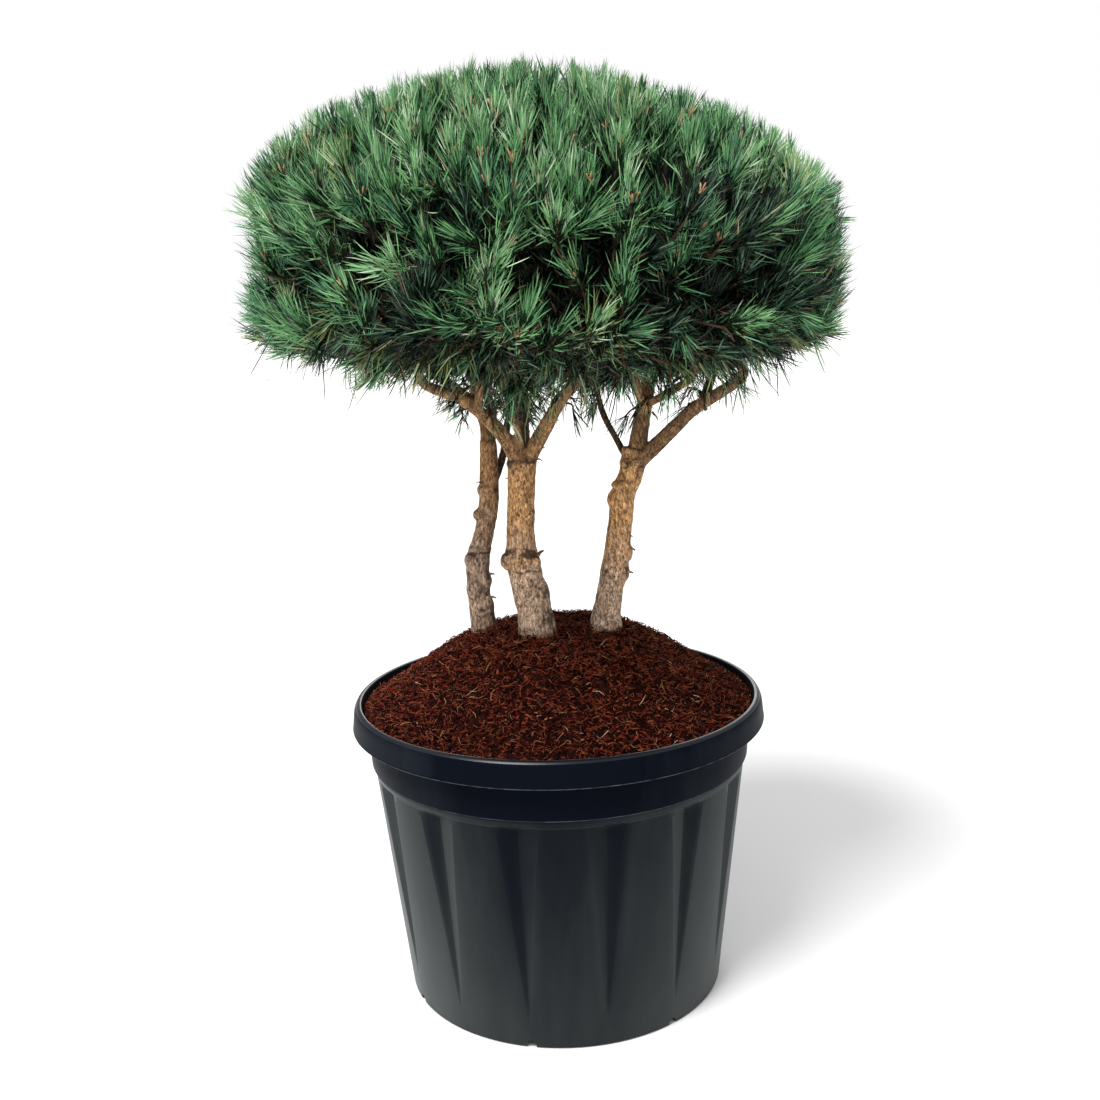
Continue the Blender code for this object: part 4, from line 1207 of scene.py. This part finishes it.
def crown_share(points):
    """How far out points lie: 1 on the crown's outer surface."""
    points = np.asarray(points)
    rise = points[..., 2] - CROWN_MIDDLE
    above = rise > 0.0
    height, loss, loss_power, lean, corner = (
        np.where(above, top, under) for top, under in zip(CROWN_TOP, CROWN_UNDERSIDE))
    sideways = points[..., 0] - CROWN_AXIS
    out = np.hypot(sideways, points[..., 1]) / CROWN_RADIUS
    right = np.clip(sideways / CROWN_RADIUS, -1.0, 1.0)
    full = height * (1.0 - loss * np.minimum(out, 1.0) ** loss_power) * (1.0 - lean * right)
    return (out ** corner + (np.abs(rise) / full) ** corner) ** (1.0 / corner)


def outward_normals(points):
    """The crown's outward directions at points."""
    step = 0.004
    base = crown_share(points)
    slope = np.stack([crown_share(points + step * axis) - base for axis in np.eye(3)], axis=-1)
    return unit(slope)


# Straight down, what keeps a way's level part, and a way that no stem runs along
DOWN = np.array((0.0, 0.0, -1.0))
LEVEL = (1.0, 1.0, 0.0)
OFF_STEM = (0.31, 0.17, -0.94)


def way_round(angle, rise):
    """A level direction at an angle round the trunk, with a rise added to it."""
    return np.array((math.cos(angle), math.sin(angle), rise))


def nearest(spots, point):
    """The spot nearest to a point."""
    return min(spots, key=lambda spot: math.dist(spot, point))


# Search for points on the crown's surface: ways tried, halvings of each, nearest and furthest start
SURFACE_TRIES = 16000
SURFACE_HALVINGS = 18
SURFACE_REACH = (0.02, 0.70)


def surface_points(spacing, rng):
    """Points spread over the crown's outer surface, none nearer to another than the spacing."""
    ways = unit(rng.normal(0.0, 1.0, (SURFACE_TRIES, 3)))
    middle = np.array((CROWN_AXIS, 0.0, CROWN_MIDDLE))
    near, far = (np.full(SURFACE_TRIES, reach) for reach in SURFACE_REACH)
    for _halving in range(SURFACE_HALVINGS):
        half = 0.5 * (near + far)
        outside = crown_share(middle + half[:, None] * ways) > 1.0
        far = np.where(outside, half, far)
        near = np.where(outside, near, half)
    cells, kept = {}, []
    steps = list(itertools.product((-1, 0, 1), repeat=3))
    for point in middle + near[:, None] * ways:
        cell = tuple(int(c) for c in np.floor(point / spacing))
        beside = [tuple(a + b for a, b in zip(cell, step)) for step in steps]
        around = [other for spot in beside for other in cells.get(spot, ())]
        if all(math.dist(point, other) >= spacing for other in around):
            cells.setdefault(cell, []).append(tuple(point))
            kept.append(point)
    return np.array(kept)


MASS_LIST = list(MASSES)
MASS_CENTRES = np.array([MASSES[name]["centre"] for name in MASS_LIST])
MASS_SIZES = np.array([MASSES[name]["size"] for name in MASS_LIST])


def mass_at(point):
    """The mass whose space holds a point, and how far inside that space's nearest side it lies."""
    weight = ((MASS_CENTRES - point) ** 2).sum(axis=1) - MASS_SIZES ** 2
    first, second = np.argsort(weight)[:2]
    gap = math.dist(MASS_CENTRES[first], MASS_CENTRES[second])
    return MASS_LIST[first], (weight[second] - weight[first]) / (2.0 * gap)


# Clefts between the masses: depth and half width
CLEFT_DEPTH = 0.034
CLEFT_WIDTH = 0.013


def clump_sink(point, border):
    """How far the needles stay back: between the masses, in the hollows, and in lumps."""
    sink = CLEFT_DEPTH * math.exp(-(border / CLEFT_WIDTH) ** 2)
    for centre, radius, depth in HOLLOWS:
        sink += depth * math.exp(-(math.dist(point, centre) / radius) ** 2)
    spot = Vector(point)
    return sink - 0.0010 + 0.0080 * noise.noise(spot * 10.0) + 0.0060 * noise.noise(spot * 24.0)


# Turn from one twig or shoot to the next round its stem, main twigs in a mass, and radii of the twigs
SPIRAL_TURN = 2.4
MAIN_TWIGS = 8
MAIN_TWIG_RADIUS = 0.0034
TWIG_RADII = (0.0022, 0.0018, 0.0015)


def grow_twigs(rng):
    """Each mass's main twigs, from its bough's tip through its hub, and the forks they end in."""
    twigs, forks = [], {}
    for name, mass in MASSES.items():
        bough = next(b for b, row in BOUGHS.items() if row[3] == name)
        tip, tip_radius = bough_axis(bough, 0.02)[-1]
        centre = np.array(mass["centre"])
        hub = centre - np.array((0.0, 0.0, 0.20 * mass["size"]))
        twigs.append((np.array(tip), hub, tip_radius))
        forks[name] = []
        for k in range(MAIN_TWIGS):
            angle = SPIRAL_TURN * k + rng.uniform(-0.3, 0.3)
            way = unit(way_round(angle, rng.uniform(-0.20, 0.80)))
            reach = 0.62 * mass["size"]
            fork = hub + way * reach
            while reach > 0.02 and (mass_at(fork)[0] != name or crown_share(fork) > 0.66):
                reach -= 0.008
                fork = hub + way * reach
            forks[name].append(fork)
            twigs.append((hub, fork, MAIN_TWIG_RADIUS))
    return twigs, forks


def add_shoot(shoots, twigs, fork, tip, ways, run, **needles):
    """Add a shoot whose stem bends from its first way to the way it grows, and the twig it sits on."""
    first, grow = ways
    elbow = tip - grow * 0.5 * run
    foot = elbow - first * 0.5 * run
    stops = (fork, foot, elbow, tip)
    twigs += zip(stops, stops[1:], TWIG_RADII)
    shoots.append({"foot": foot, "elbow": elbow, "tip": tip, "first": first, "grow": grow, **needles})


# Layers of shoots from the surface inward: spacing, depth, fullness, breadth of a needle, share left out
SHOOT_LAYERS = (
    (1.0, 0.0, 1.0, 1.0, 0.10), (1.35, 0.044, 0.66, 1.35, 0.0), (1.9, 0.096, 0.60, 2.3, 0.0),
    (1.9, 0.155, 0.72, 3.5, 0.0))
# Depth from which a shoot is one of the inner ones, dark with painted shade
INNER_DEPTH = 0.040
# How a shoot grows by the way the crown faces there, up at 1 and down at -1: how far upwards, outwards
# and aside, its stray, how far its needles are held in, and how they lift
UPWARD = ((-0.9, -0.3, 0.0, 1.0), (0.16, 0.42, 0.72, 0.80))
OUTWARD = ((-0.9, 0.0, 1.0), (0.50, 0.58, 0.60))
ASIDE = ((-0.9, -0.3, 0.0), (0.85, 0.40, 0.0))
STRAY = ((-0.7, 0.0, 0.8), (0.52, 0.33, 0.20))
HELD = ((-0.3, 0.0, 0.6, 1.0), (0.60, 0.52, 0.58, 0.62))
LIFT = ((-0.6, 0.0, 1.0), (0.02, 0.08, 0.16))


def grow_shoots(settings):
    """Every shoot of the crown with its needles' sizes, and the twigs that carry them all."""
    rng = np.random.default_rng(settings.seed)
    twigs, forks = grow_twigs(rng)
    shoots = []
    for step, deeper, fullness, broad, left_out in SHOOT_LAYERS:
        points = surface_points(step * settings.spacing, rng)
        for point, normal in zip(points, outward_normals(points)):
            name, border = mass_at(point - 0.04 * normal)
            facing = normal[2]
            if rng.uniform() < left_out * (0.4 if facing > 0.6 else 1.0):
                continue
            upward, outward, aside, stray, held, lift = (
                float(np.interp(facing, *rule)) for rule in (UPWARD, OUTWARD, ASIDE, STRAY, HELD, LIFT))
            grow = outward * normal + aside * unit(normal * LEVEL) + (0.0, 0.0, upward)
            grow = unit(grow + rng.normal(0.0, stray, 3))
            length = settings.length * rng.uniform(0.80, 1.12)
            under = facing < -0.3
            back = clump_sink(point, border) + deeper + (rng.uniform(0.0, 0.020) if under else 0.0)
            along = grow - normal * float(grow @ normal)
            tip = point - normal * (back + held * length) - along * 0.40 * length
            first = unit(0.8 * normal + 0.6 * grow + rng.normal(0.0, 0.10, 3))
            fork = nearest(forks[name], tip - 0.05 * first)
            run = rng.uniform(0.040, 0.070)
            full = settings.pairs * fullness * rng.uniform(0.75, 1.25)
            add_shoot(
                shoots, twigs, fork, tip, (first, grow), run, length=length,
                pairs=int(full * (0.7 if facing < -0.4 else 1.0)), broad=broad,
                spread=rng.uniform(42.0, 62.0),
                limit=rng.uniform(1.01, 1.07) + (rng.uniform(0.0, 0.10) if under else 0.0),
                lift=lift, place="inner" if back > INNER_DEPTH else place_of(point, facing))
    for end in LONG_TIPS:
        long_shoots(np.array(end), forks, shoots, twigs, settings, rng)
    for name in INNER_MASSES:
        inner_shoots(name, shoots, twigs, settings, rng)
    hanging_shoots(shoots, twigs, settings, rng)
    loose_strands(forks, shoots, twigs, settings, rng)
    return shoots, twigs


def place_of(point, facing):
    """The part of the crown that an outer shoot is in."""
    # Each place deals its own tones: lighter on top, darker on the right side, low down and underneath, as
    # painted light and shade
    if facing < -0.40:
        return "under"
    if facing > (0.62 if point[0] < -0.12 else 0.45):
        return "top"
    if point[2] < 0.975:
        return "side" if point[0] > 0.14 else "low"
    return "shaded" if point[0] > 0.10 else "side"


# Shoots at a furthest tip: how far behind it and beside it each one sits
LONG_SHOOT_PLACES = ((0.0, 0.0), (0.030, 0.022), (0.034, -0.022), (0.058, 0.004))


def long_shoots(end, forks, shoots, twigs, settings, rng):
    """The shoots that reach one of the crown's furthest tips, one behind the other."""
    name, _border = mass_at(end * 0.8 + 0.2 * np.array((0.0, 0.0, CROWN_MIDDLE)))
    fork = nearest(forks[name], end)
    grow = unit(unit(end - fork) + np.array((0.0, 0.0, 0.10)))
    across = unit(np.cross(grow, (0.0, 0.0, 1.0)))
    for behind, aside in LONG_SHOOT_PLACES:
        length = settings.length * rng.uniform(0.85, 1.0)
        tip = end - grow * (0.92 * length + behind) + across * aside + rng.normal(0.0, 0.004, 3)
        add_shoot(
            shoots, twigs, fork, tip, (grow, grow), 0.060, length=length,
            pairs=int(0.7 * settings.pairs), spread=38.0, limit=1.14, lift=0.06, place="low")


# Shoots of one small mass under the crown's middle
INNER_SHOOTS = 46


def inner_shoots(name, shoots, twigs, settings, rng):
    """The shoots of a small mass under the crown's middle, round the tops of the trunks."""
    centre, size = np.array(MASSES[name]["centre"]), MASSES[name]["size"]
    for k in range(INNER_SHOOTS):
        height = 1.0 - 2.0 * (k + 0.5) / INNER_SHOOTS
        ring = math.sqrt(1.0 - height * height)
        way = way_round(SPIRAL_TURN * k, height) * (ring, ring, 1.0)
        way = unit(way + rng.normal(0.0, 0.12, 3))
        if way[0] < -0.25 and rng.uniform() < 0.65:
            continue
        tip = centre + way * size * rng.uniform(0.40, 0.75)
        grow = unit(way + np.array((0.0, 0.0, rng.uniform(-0.30, 0.20))))
        add_shoot(
            shoots, twigs, centre, tip, (grow, grow), 0.034,
            length=settings.length * rng.uniform(0.62, 0.95),
            pairs=int(settings.pairs * rng.uniform(0.25, 0.60)), spread=rng.uniform(45.0, 65.0),
            limit=1.45, lift=rng.uniform(-0.30, 0.05),
            place="low" if way[1] < -0.2 and rng.uniform() < 0.5 else "under")


# How far out of the crown's surface hanging needles may reach, as a share
HANGING_LIMIT = 3.0


def hanging_shoots(shoots, twigs, settings, rng):
    """Sparse drooping needles along the boughs below the crown, many of them dry."""
    for bough in BOUGHS:
        for point, radius in bough_axis(bough, 0.011):
            point = np.array(point)
            sparse = 0.30 if abs(point[0] + 0.05) < 0.09 else 0.72
            if point[2] < 0.832 or crown_share(point) < 0.70 or rng.uniform() < sparse:
                continue
            turn = rng.uniform(0.0, math.tau)
            way = unit(way_round(turn, rng.uniform(-0.6, 0.3)))
            run = rng.uniform(0.010, 0.030)
            tip = point + way * (radius + run)
            droop = unit(0.45 * way + DOWN + rng.normal(0.0, 0.2, 3))
            add_shoot(
                shoots, twigs, point, tip, (way, droop), run,
                length=settings.length * rng.uniform(0.50, 0.95), pairs=int(rng.uniform(2, 10)),
                spread=rng.uniform(20.0, 50.0), limit=HANGING_LIMIT, lift=rng.uniform(-0.40, 0.0),
                place="hanging")


def loose_strands(forks, shoots, twigs, settings, rng):
    """A few long needles at a time hanging and curling below the crown's underside."""
    points = surface_points(1.15 * settings.spacing, rng)
    for point, normal in zip(points, outward_normals(points)):
        if normal[2] > -0.30 or rng.uniform() < 0.55:
            continue
        name, _border = mass_at(point - 0.04 * normal)
        out = unit(normal * LEVEL)
        droop = unit(out * rng.uniform(0.0, 0.9) + DOWN + rng.normal(0.0, 0.30, 3))
        tip = point - normal * rng.uniform(0.004, 0.030)
        add_shoot(
            shoots, twigs, nearest(forks[name], tip), tip, (normal, droop), 0.024,
            length=settings.length * rng.uniform(0.90, 1.40), pairs=int(rng.uniform(2, 6)),
            spread=rng.uniform(20.0, 70.0), limit=HANGING_LIMIT, lift=rng.uniform(-0.30, 0.30),
            place="hanging")


# Needle tones: name and colour; the darkest is near-black painted shade for the needles inside and under
# the crown
NEEDLE_TONES = {
    "pale": (0.520, 0.660, 0.440),
    "bright": (0.220, 0.460, 0.195),
    "green": (0.105, 0.285, 0.115),
    "blue": (0.080, 0.235, 0.118),
    "deep": (0.016, 0.044, 0.024),
    "night": (0.0050, 0.0110, 0.0070),
    "grey": (0.120, 0.225, 0.138),
    "olive": (0.150, 0.185, 0.080),
    "yellow": (0.300, 0.390, 0.150),
    "brown": (0.130, 0.072, 0.038),
    "straw": (0.400, 0.310, 0.180),
}

# Lighter and darker tones mixed into a shoot of each tone
TONE_MATES = {
    "bright": ("pale", "green"), "green": ("bright", "deep"), "blue": ("bright", "deep"),
    "deep": ("grey", "night"),
    "night": ("deep", "night"),
    "olive": ("yellow", "deep"), "yellow": ("pale", "green"), "brown": ("straw", "deep"),
    "straw": ("pale", "brown"),
}

# How often a shoot takes each tone, by its place in the crown: partly the needles' own tones, partly
# painted light, lighter on top and darker as painted shade on the shaded right side, low down, underneath,
# hanging below and inside the crown
PLACE_TONES = {
    "top": {"bright": 0.46, "green": 0.36, "yellow": 0.09, "blue": 0.09},
    "side": {"bright": 0.25, "green": 0.43, "blue": 0.25, "deep": 0.04, "yellow": 0.03},
    "shaded": {"bright": 0.02, "green": 0.26, "blue": 0.26, "deep": 0.44, "yellow": 0.02},
    "low": {"bright": 0.06, "green": 0.28, "blue": 0.22, "deep": 0.30, "olive": 0.14},
    "under": {"green": 0.12, "blue": 0.12, "deep": 0.52, "olive": 0.14, "night": 0.10},
    "inner": {"night": 0.84, "deep": 0.12, "olive": 0.04},
    "hanging": {"deep": 0.54, "green": 0.18, "olive": 0.20, "straw": 0.08},
}
LIGHTER_SHARE = 0.25
DARKER_SHARE = 0.29

# Share of dry needles by place, and the painted shade that darkens a needle near its foot
DRY_SHARES = {"top": 0.01, "side": 0.02, "shaded": 0.03, "low": 0.05, "under": 0.07, "inner": 0.04,
              "hanging": 0.12}
PAINTED_FOOT_SHADE = 0.12

# Where a needle's blade has its pairs of points, with its width there
BLADE_STATIONS = ((0.0, 0.75), (0.40, 1.0), (0.76, 0.85))
# Its count of points, its triangles by those points and its tip, and which material each one takes: the
# foot's painted shade or the blade's tone
BLADE_POINTS = 2 * len(BLADE_STATIONS) + 1
BLADE_FACES = ((0, 1, 3), (0, 3, 2), (2, 3, 5), (2, 5, 4), (4, 5, 6))
BLADE_MATERIALS = (0, 0, 1, 1, 1)
# Turn from one needle pair to the next round the shoot, and the angle of the foremost ones in degrees
NEEDLE_TURN = 2.39996
FOREMOST_SPREAD = 13.0
# Strays of a pair's turn and of its angle in degrees, and of a needle's bow
TURN_STRAY = 0.25
SPREAD_STRAY = 15.0
BOW_STRAY = 0.10
# Ranges of a needle's splay from its pair, length, bow and width, and how far out on its twig it is rooted
SPLAY = (0.04, 0.15)
LENGTHS = (0.74, 1.06)
BOWS = (0.02, 0.26)
WIDTHS = (0.70, 1.20)
TWIG_SURFACE = 0.0012


def needles_of_shoot(shoot, settings, rng):
    """The needles of one shoot in pairs, each a bowed blade of three pairs of points and a tip."""
    pairs, foot, elbow, tip = shoot["pairs"], shoot["foot"], shoot["elbow"], shoot["tip"]
    along = np.sort(rng.uniform(0.02, 1.0, pairs))[:, None] ** 0.75
    start = (1.0 - along) ** 2 * foot + 2.0 * along * (1.0 - along) * elbow + along ** 2 * tip
    tangent = unit((1.0 - along) * shoot["first"] + along * shoot["grow"])
    turn = (np.arange(pairs) * NEEDLE_TURN + rng.normal(0.0, TURN_STRAY, pairs))[:, None]
    side = unit(np.cross(tangent, OFF_STEM))
    other = np.cross(tangent, side)
    radial = np.cos(turn) * side + np.sin(turn) * other
    lean = shoot["spread"] - (shoot["spread"] - FOREMOST_SPREAD) * along
    lean = np.radians(lean + rng.normal(0.0, SPREAD_STRAY, (pairs, 1)))
    blades = []
    for hand in (-1.0, 1.0):
        splay = hand * rng.uniform(*SPLAY, (pairs, 1)) * np.cross(tangent, radial)
        way = np.cos(lean) * tangent + np.sin(lean) * radial + splay
        way[:, 2] += shoot["lift"] * rng.uniform(0.3, 1.5, pairs)
        way = unit(way)
        length = shoot["length"] * rng.uniform(*LENGTHS, (pairs, 1)) * (0.86 + 0.14 * along)
        root = start + radial * TWIG_SURFACE
        bow = rng.uniform(*BOWS, (pairs, 1)) * unit(np.cross(way, np.cross(tangent, way)))
        droop = (0.0, 0.0, 0.3 * min(shoot["lift"], 0.0))
        bow = length * (bow + rng.normal(0.0, BOW_STRAY, (pairs, 3)) + droop)
        here, there = crown_share(root), crown_share(root + way * length + bow)
        trim = np.clip((shoot["limit"] - here) / np.maximum(there - here, 1e-6), 0.45, 1.0)
        trim = np.where(there > shoot["limit"], trim, 1.0)[:, None]
        twist = rng.uniform(0.0, math.tau, (pairs, 1))
        flat = unit(np.cross(way, radial + 1e-3))
        beside = np.cross(way, flat)
        width = settings.width * shoot.get("broad", 1.0)
        half = 0.5 * width * rng.uniform(*WIDTHS, (pairs, 1))
        points = []
        for share, wide in BLADE_STATIONS:
            reach = share * trim
            centre = root + way * length * reach + bow * reach ** 2
            across = half * wide * (np.cos(twist + share) * flat + np.sin(twist + share) * beside)
            points += [centre - across, centre + across]
        points.append(root + way * length * trim + bow * trim ** 2)
        blades.append(np.stack(points, axis=1))
    return np.concatenate(blades)


def deal_needles(shoots, settings, rng):
    """Every shoot's needles dealt out to their tones."""
    by_tone = {tone: [] for tone in NEEDLE_TONES}
    for shoot in shoots:
        tones = PLACE_TONES[shoot["place"]]
        main = str(rng.choice(list(tones), p=list(tones.values())))
        lighter, darker = TONE_MATES[main]
        dry = "brown" if rng.uniform() < 0.6 else "straw"
        blades = needles_of_shoot(shoot, settings, rng)
        draw = rng.uniform(size=len(blades))
        dry_from = 1.0 - DRY_SHARES[shoot["place"]]
        dark_from = dry_from - DARKER_SHARE
        by_tone[lighter].append(blades[draw < LIGHTER_SHARE])
        by_tone[main].append(blades[(draw >= LIGHTER_SHARE) & (draw < dark_from)])
        by_tone[darker].append(blades[(draw >= dark_from) & (draw < dry_from)])
        by_tone[dry].append(blades[draw >= dry_from])
    return by_tone


# Most needles in one piece, five triangles each
PIECE_NEEDLES = 38000
TWIG_COLOUR = (0.062, 0.038, 0.024)


def build_foliage(settings):
    """Twigs, needles and buds of the whole crown, each kind joined, the needles tone by tone."""
    rng = np.random.default_rng(settings.seed + 1)
    shoots, twig_rows = grow_shoots(settings)
    pattern = np.array(BLADE_FACES)
    made = []
    for tone, groups in deal_needles(shoots, settings, rng).items():
        colour = NEEDLE_TONES[tone]
        # Each needle's foot takes a darker copy of its tone as painted shade
        shaded = [PAINTED_FOOT_SHADE * level for level in colour]
        foot = plain_material("needle_feet_" + tone, shaded, 0.60, 0.05)
        blade = plain_material("needles_" + tone, colour, 0.45, 0.25)
        blades = np.concatenate(groups)
        for part in range(0, len(blades), PIECE_NEEDLES):
            some = blades[part:part + PIECE_NEEDLES]
            first = BLADE_POINTS * np.arange(len(some))
            faces = (pattern[None] + first[:, None, None]).reshape(-1, 3)
            name = f"needles_{tone}_{part // PIECE_NEEDLES + 1}"
            needles = mesh_object(name, some.reshape(-1, 3), faces)
            needles.data.materials.append(foot)
            needles.data.materials.append(blade)
            needles.data.polygons.foreach_set("material_index", np.tile(BLADE_MATERIALS, len(some)))
            made.append(needles)
    starts, ends = (np.array([row[k] for row in twig_rows]) for k in (0, 1))
    widths = np.array([row[2] for row in twig_rows])
    run = np.linalg.norm(ends - starts, axis=1, keepdims=True)
    bend = rng.normal(0.0, 0.04, starts.shape) * run
    points, faces = tubes(starts, ends, widths, sides=5, bend=bend, taper=0.7)
    twigs = mesh_object("twigs", points, faces)
    twigs.data.materials.append(plain_material("twig_bark", TWIG_COLOUR, 0.85, 0.1))
    return made, twigs, build_buds(shoots, rng)


# Share of the outer shoots that have buds, the buds round the middle one, and a bud's length and radius
BUD_SHARE = 0.30
SIDE_BUDS = 5
BUD_LENGTH = (0.008, 0.014)
BUD_RADIUS = (0.0019, 0.0027)
BUD_COLOUR = (0.50, 0.290, 0.160)


def build_buds(shoots, rng):
    """Clusters of resinous buds at the tips of some of the shoots."""
    starts, ends, widths = [], [], []
    for shoot in shoots:
        if shoot["place"] not in ("top", "side", "shaded", "low") or rng.uniform() > BUD_SHARE:
            continue
        grow = shoot["grow"]
        side = unit(np.cross(grow, OFF_STEM))
        other = np.cross(grow, side)
        for k in range(SIDE_BUDS + 1):
            middle = k == SIDE_BUDS
            turn = math.tau * k / SIDE_BUDS
            around = math.cos(turn) * side + math.sin(turn) * other
            way = grow if middle else unit(grow + 0.55 * around + rng.normal(0.0, 0.08, 3))
            starts.append(shoot["tip"] - 0.002 * way)
            ends.append(shoot["tip"] + way * rng.uniform(*BUD_LENGTH) * (1.25 if middle else 1.0))
            widths.append(rng.uniform(*BUD_RADIUS))
    points, faces = tubes(np.array(starts), np.array(ends), np.array(widths), sides=5, taper=0.30)
    buds = mesh_object("buds", points, faces)
    buds.data.materials.append(plain_material("bud_scales", BUD_COLOUR, 0.6, 0.3))
    return buds


# Lights: name, the way it comes from and how wide it is in degrees
LIGHTS = (
    ("key", (-0.42, -0.50, 1.00), 24.0), ("top", (0.10, 0.10, 1.00), 110.0),
    ("front", (-0.10, -1.00, 0.32), 55.0), ("back", (0.10, 1.00, 0.50), 40.0))
# Gap between the pot and the floor, and the floor's colour
FLOOR_DROP = 0.0005
FLOOR_COLOUR = (0.88, 0.88, 0.88)


class PINE_OT_stage(bpy.types.Operator):
    """Lay the floor, hang the lights and set up the photograph's camera"""
    bl_idname = "pine.stage"
    bl_label = "Stage"

    def execute(self, context):
        settings = context.scene.pine_stage
        deselect()
        bpy.ops.mesh.primitive_plane_add(size=settings.floor, location=(0.0, 0.0, -FLOOR_DROP))
        floor = bpy.context.object
        floor.name = floor.data.name = "floor"
        settle(floor)
        floor.data.materials.append(plain_material("pale_floor", FLOOR_COLOUR, 0.9, 0.05))
        self.light_surround(context.scene, settings.surround)
        for name, way, width in LIGHTS:
            light = bpy.data.lights.new(name, "SUN")
            light.energy = getattr(settings, name)
            light.angle = math.radians(width)
            lamp = bpy.data.objects.new(name, light)
            lamp.rotation_euler = (-Vector(way)).to_track_quat("-Z", "Y").to_euler()
            context.scene.collection.objects.link(lamp)
        lens = bpy.data.cameras.new("photo_camera")
        lens.sensor_width = SENSOR
        lens.lens = CAMERA_FOCUS / PHOTO_SIDE * SENSOR
        camera = bpy.data.objects.new("photo_camera", lens)
        camera.matrix_world = (
            Matrix.Translation((0.0, -CAMERA_DISTANCE, CAMERA_HEIGHT))
            @ Matrix.Rotation(CAMERA_YAW, 4, "Z")
            @ Matrix.Rotation(math.pi / 2.0 - CAMERA_PITCH, 4, "X")
            @ Matrix.Rotation(CAMERA_ROLL, 4, "Z"))
        context.scene.collection.objects.link(camera)
        context.scene.camera = camera
        context.scene.view_settings.view_transform = "Standard"
        return {"FINISHED"}

    def light_surround(self, scene, strength):
        """White all round as the camera sees it, and a softer white as light."""
        world = bpy.data.worlds.new("surround")
        scene.world = world
        world.use_nodes = True
        tree = world.node_tree
        background = tree.nodes["Background"]
        background.inputs["Color"].default_value = (1.0, 1.0, 1.0, 1.0)
        seen = tree.nodes.new("ShaderNodeLightPath")
        level = tree.nodes.new("ShaderNodeMapRange")
        tree.links.new(seen.outputs["Is Camera Ray"], level.inputs["Value"])
        level.inputs["To Min"].default_value = strength
        level.inputs["To Max"].default_value = 1.0
        tree.links.new(level.outputs["Result"], background.inputs["Strength"])


class PINE_OT_pot(bpy.types.Operator):
    """Make the grooved pot"""
    bl_idname = "pine.pot"
    bl_label = "Pot"

    def execute(self, context):
        settings = context.scene.pine_pot
        pot = build_pot(settings)
        for zone, _start, shine, sheen in POT_ZONES:
            pot.data.materials.append(plastic_material(zone, tuple(settings.colour), shine, sheen))
        starts = [start for _zone, start, _shine, _sheen in POT_ZONES[1:]]
        for face in pot.data.polygons:
            face.material_index = sum(face.center.z > start for start in starts)
        place(pot, "pot_plastic", "pot")
        return {"FINISHED"}


class PINE_OT_mulch(bpy.types.Operator):
    """Mound the mulch and scatter its fibres and chips"""
    bl_idname = "pine.mulch"
    bl_label = "Mulch"

    def execute(self, context):
        settings = context.scene.pine_mulch
        mound = build_mound(settings, mound_material(tuple(settings.colour)))
        place(mound, "mulch", "mulch")
        for litter in build_litter(settings):
            place(litter, "mulch")
        return {"FINISHED"}


class PINE_OT_stems(bpy.types.Operator):
    """Grow the trunks and boughs together under their bark"""
    bl_idname = "pine.stems"
    bl_label = "Trunks and boughs"

    def execute(self, context):
        settings = context.scene.pine_bark
        bark = bark_material(tuple(settings.warm), tuple(settings.grey))
        for trunk in TRUNKS:
            stems = build_stems(trunk, settings, bark)
            place(stems, "bark", trunk, *[name for name, row in BOUGHS.items() if row[0] == trunk])
        return {"FINISHED"}


class PINE_OT_foliage(bpy.types.Operator):
    """Grow the twigs, needles and buds of the crown"""
    bl_idname = "pine.foliage"
    bl_label = "Foliage"

    def execute(self, context):
        needles, twigs, buds = build_foliage(context.scene.pine_needles)
        for piece in needles:
            place(piece, "needles", *MASS_NODES)
        place(twigs, "bark")
        place(buds, "bark")
        return {"FINISHED"}


class PINE_PT_panel(bpy.types.Panel):
    """Lists the steps that dress the pine"""
    bl_idname = "PINE_PT_panel"
    bl_label = "Potted pine"
    bl_space_type = "VIEW_3D"
    bl_region_type = "UI"
    bl_category = "Pine"

    def draw(self, context):
        for step in STEPS:
            self.layout.operator(step.bl_idname)
        for group in SETTINGS:
            settings = getattr(context.scene, group)
            box = self.layout.box()
            for name in settings.__annotations__:
                box.prop(settings, name)


SETTINGS = {
    "pine_stage": PineStageSettings,
    "pine_pot": PinePotSettings,
    "pine_mulch": PineMulchSettings,
    "pine_bark": PineBarkSettings,
    "pine_needles": PineNeedleSettings,
}
STEPS = (PINE_OT_stage, PINE_OT_pot, PINE_OT_mulch, PINE_OT_stems, PINE_OT_foliage)


def register():
    """Register the settings, the steps and the panel."""
    for name, group in SETTINGS.items():
        bpy.utils.register_class(group)
        setattr(bpy.types.Scene, name, bpy.props.PointerProperty(type=group))
    for step in STEPS:
        bpy.utils.register_class(step)
    bpy.utils.register_class(PINE_PT_panel)


def unregister():
    """Take the panel, the steps and the settings away again."""
    bpy.utils.unregister_class(PINE_PT_panel)
    for step in reversed(STEPS):
        bpy.utils.unregister_class(step)
    for name, group in SETTINGS.items():
        delattr(bpy.types.Scene, name)
        bpy.utils.unregister_class(group)


def main():
    """Make every piece in order."""
    register()
    bpy.ops.pine.stage()
    bpy.ops.pine.pot()
    bpy.ops.pine.mulch()
    bpy.ops.pine.stems()
    bpy.ops.pine.foliage()
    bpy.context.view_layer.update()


if __name__ == "__main__":
    main()
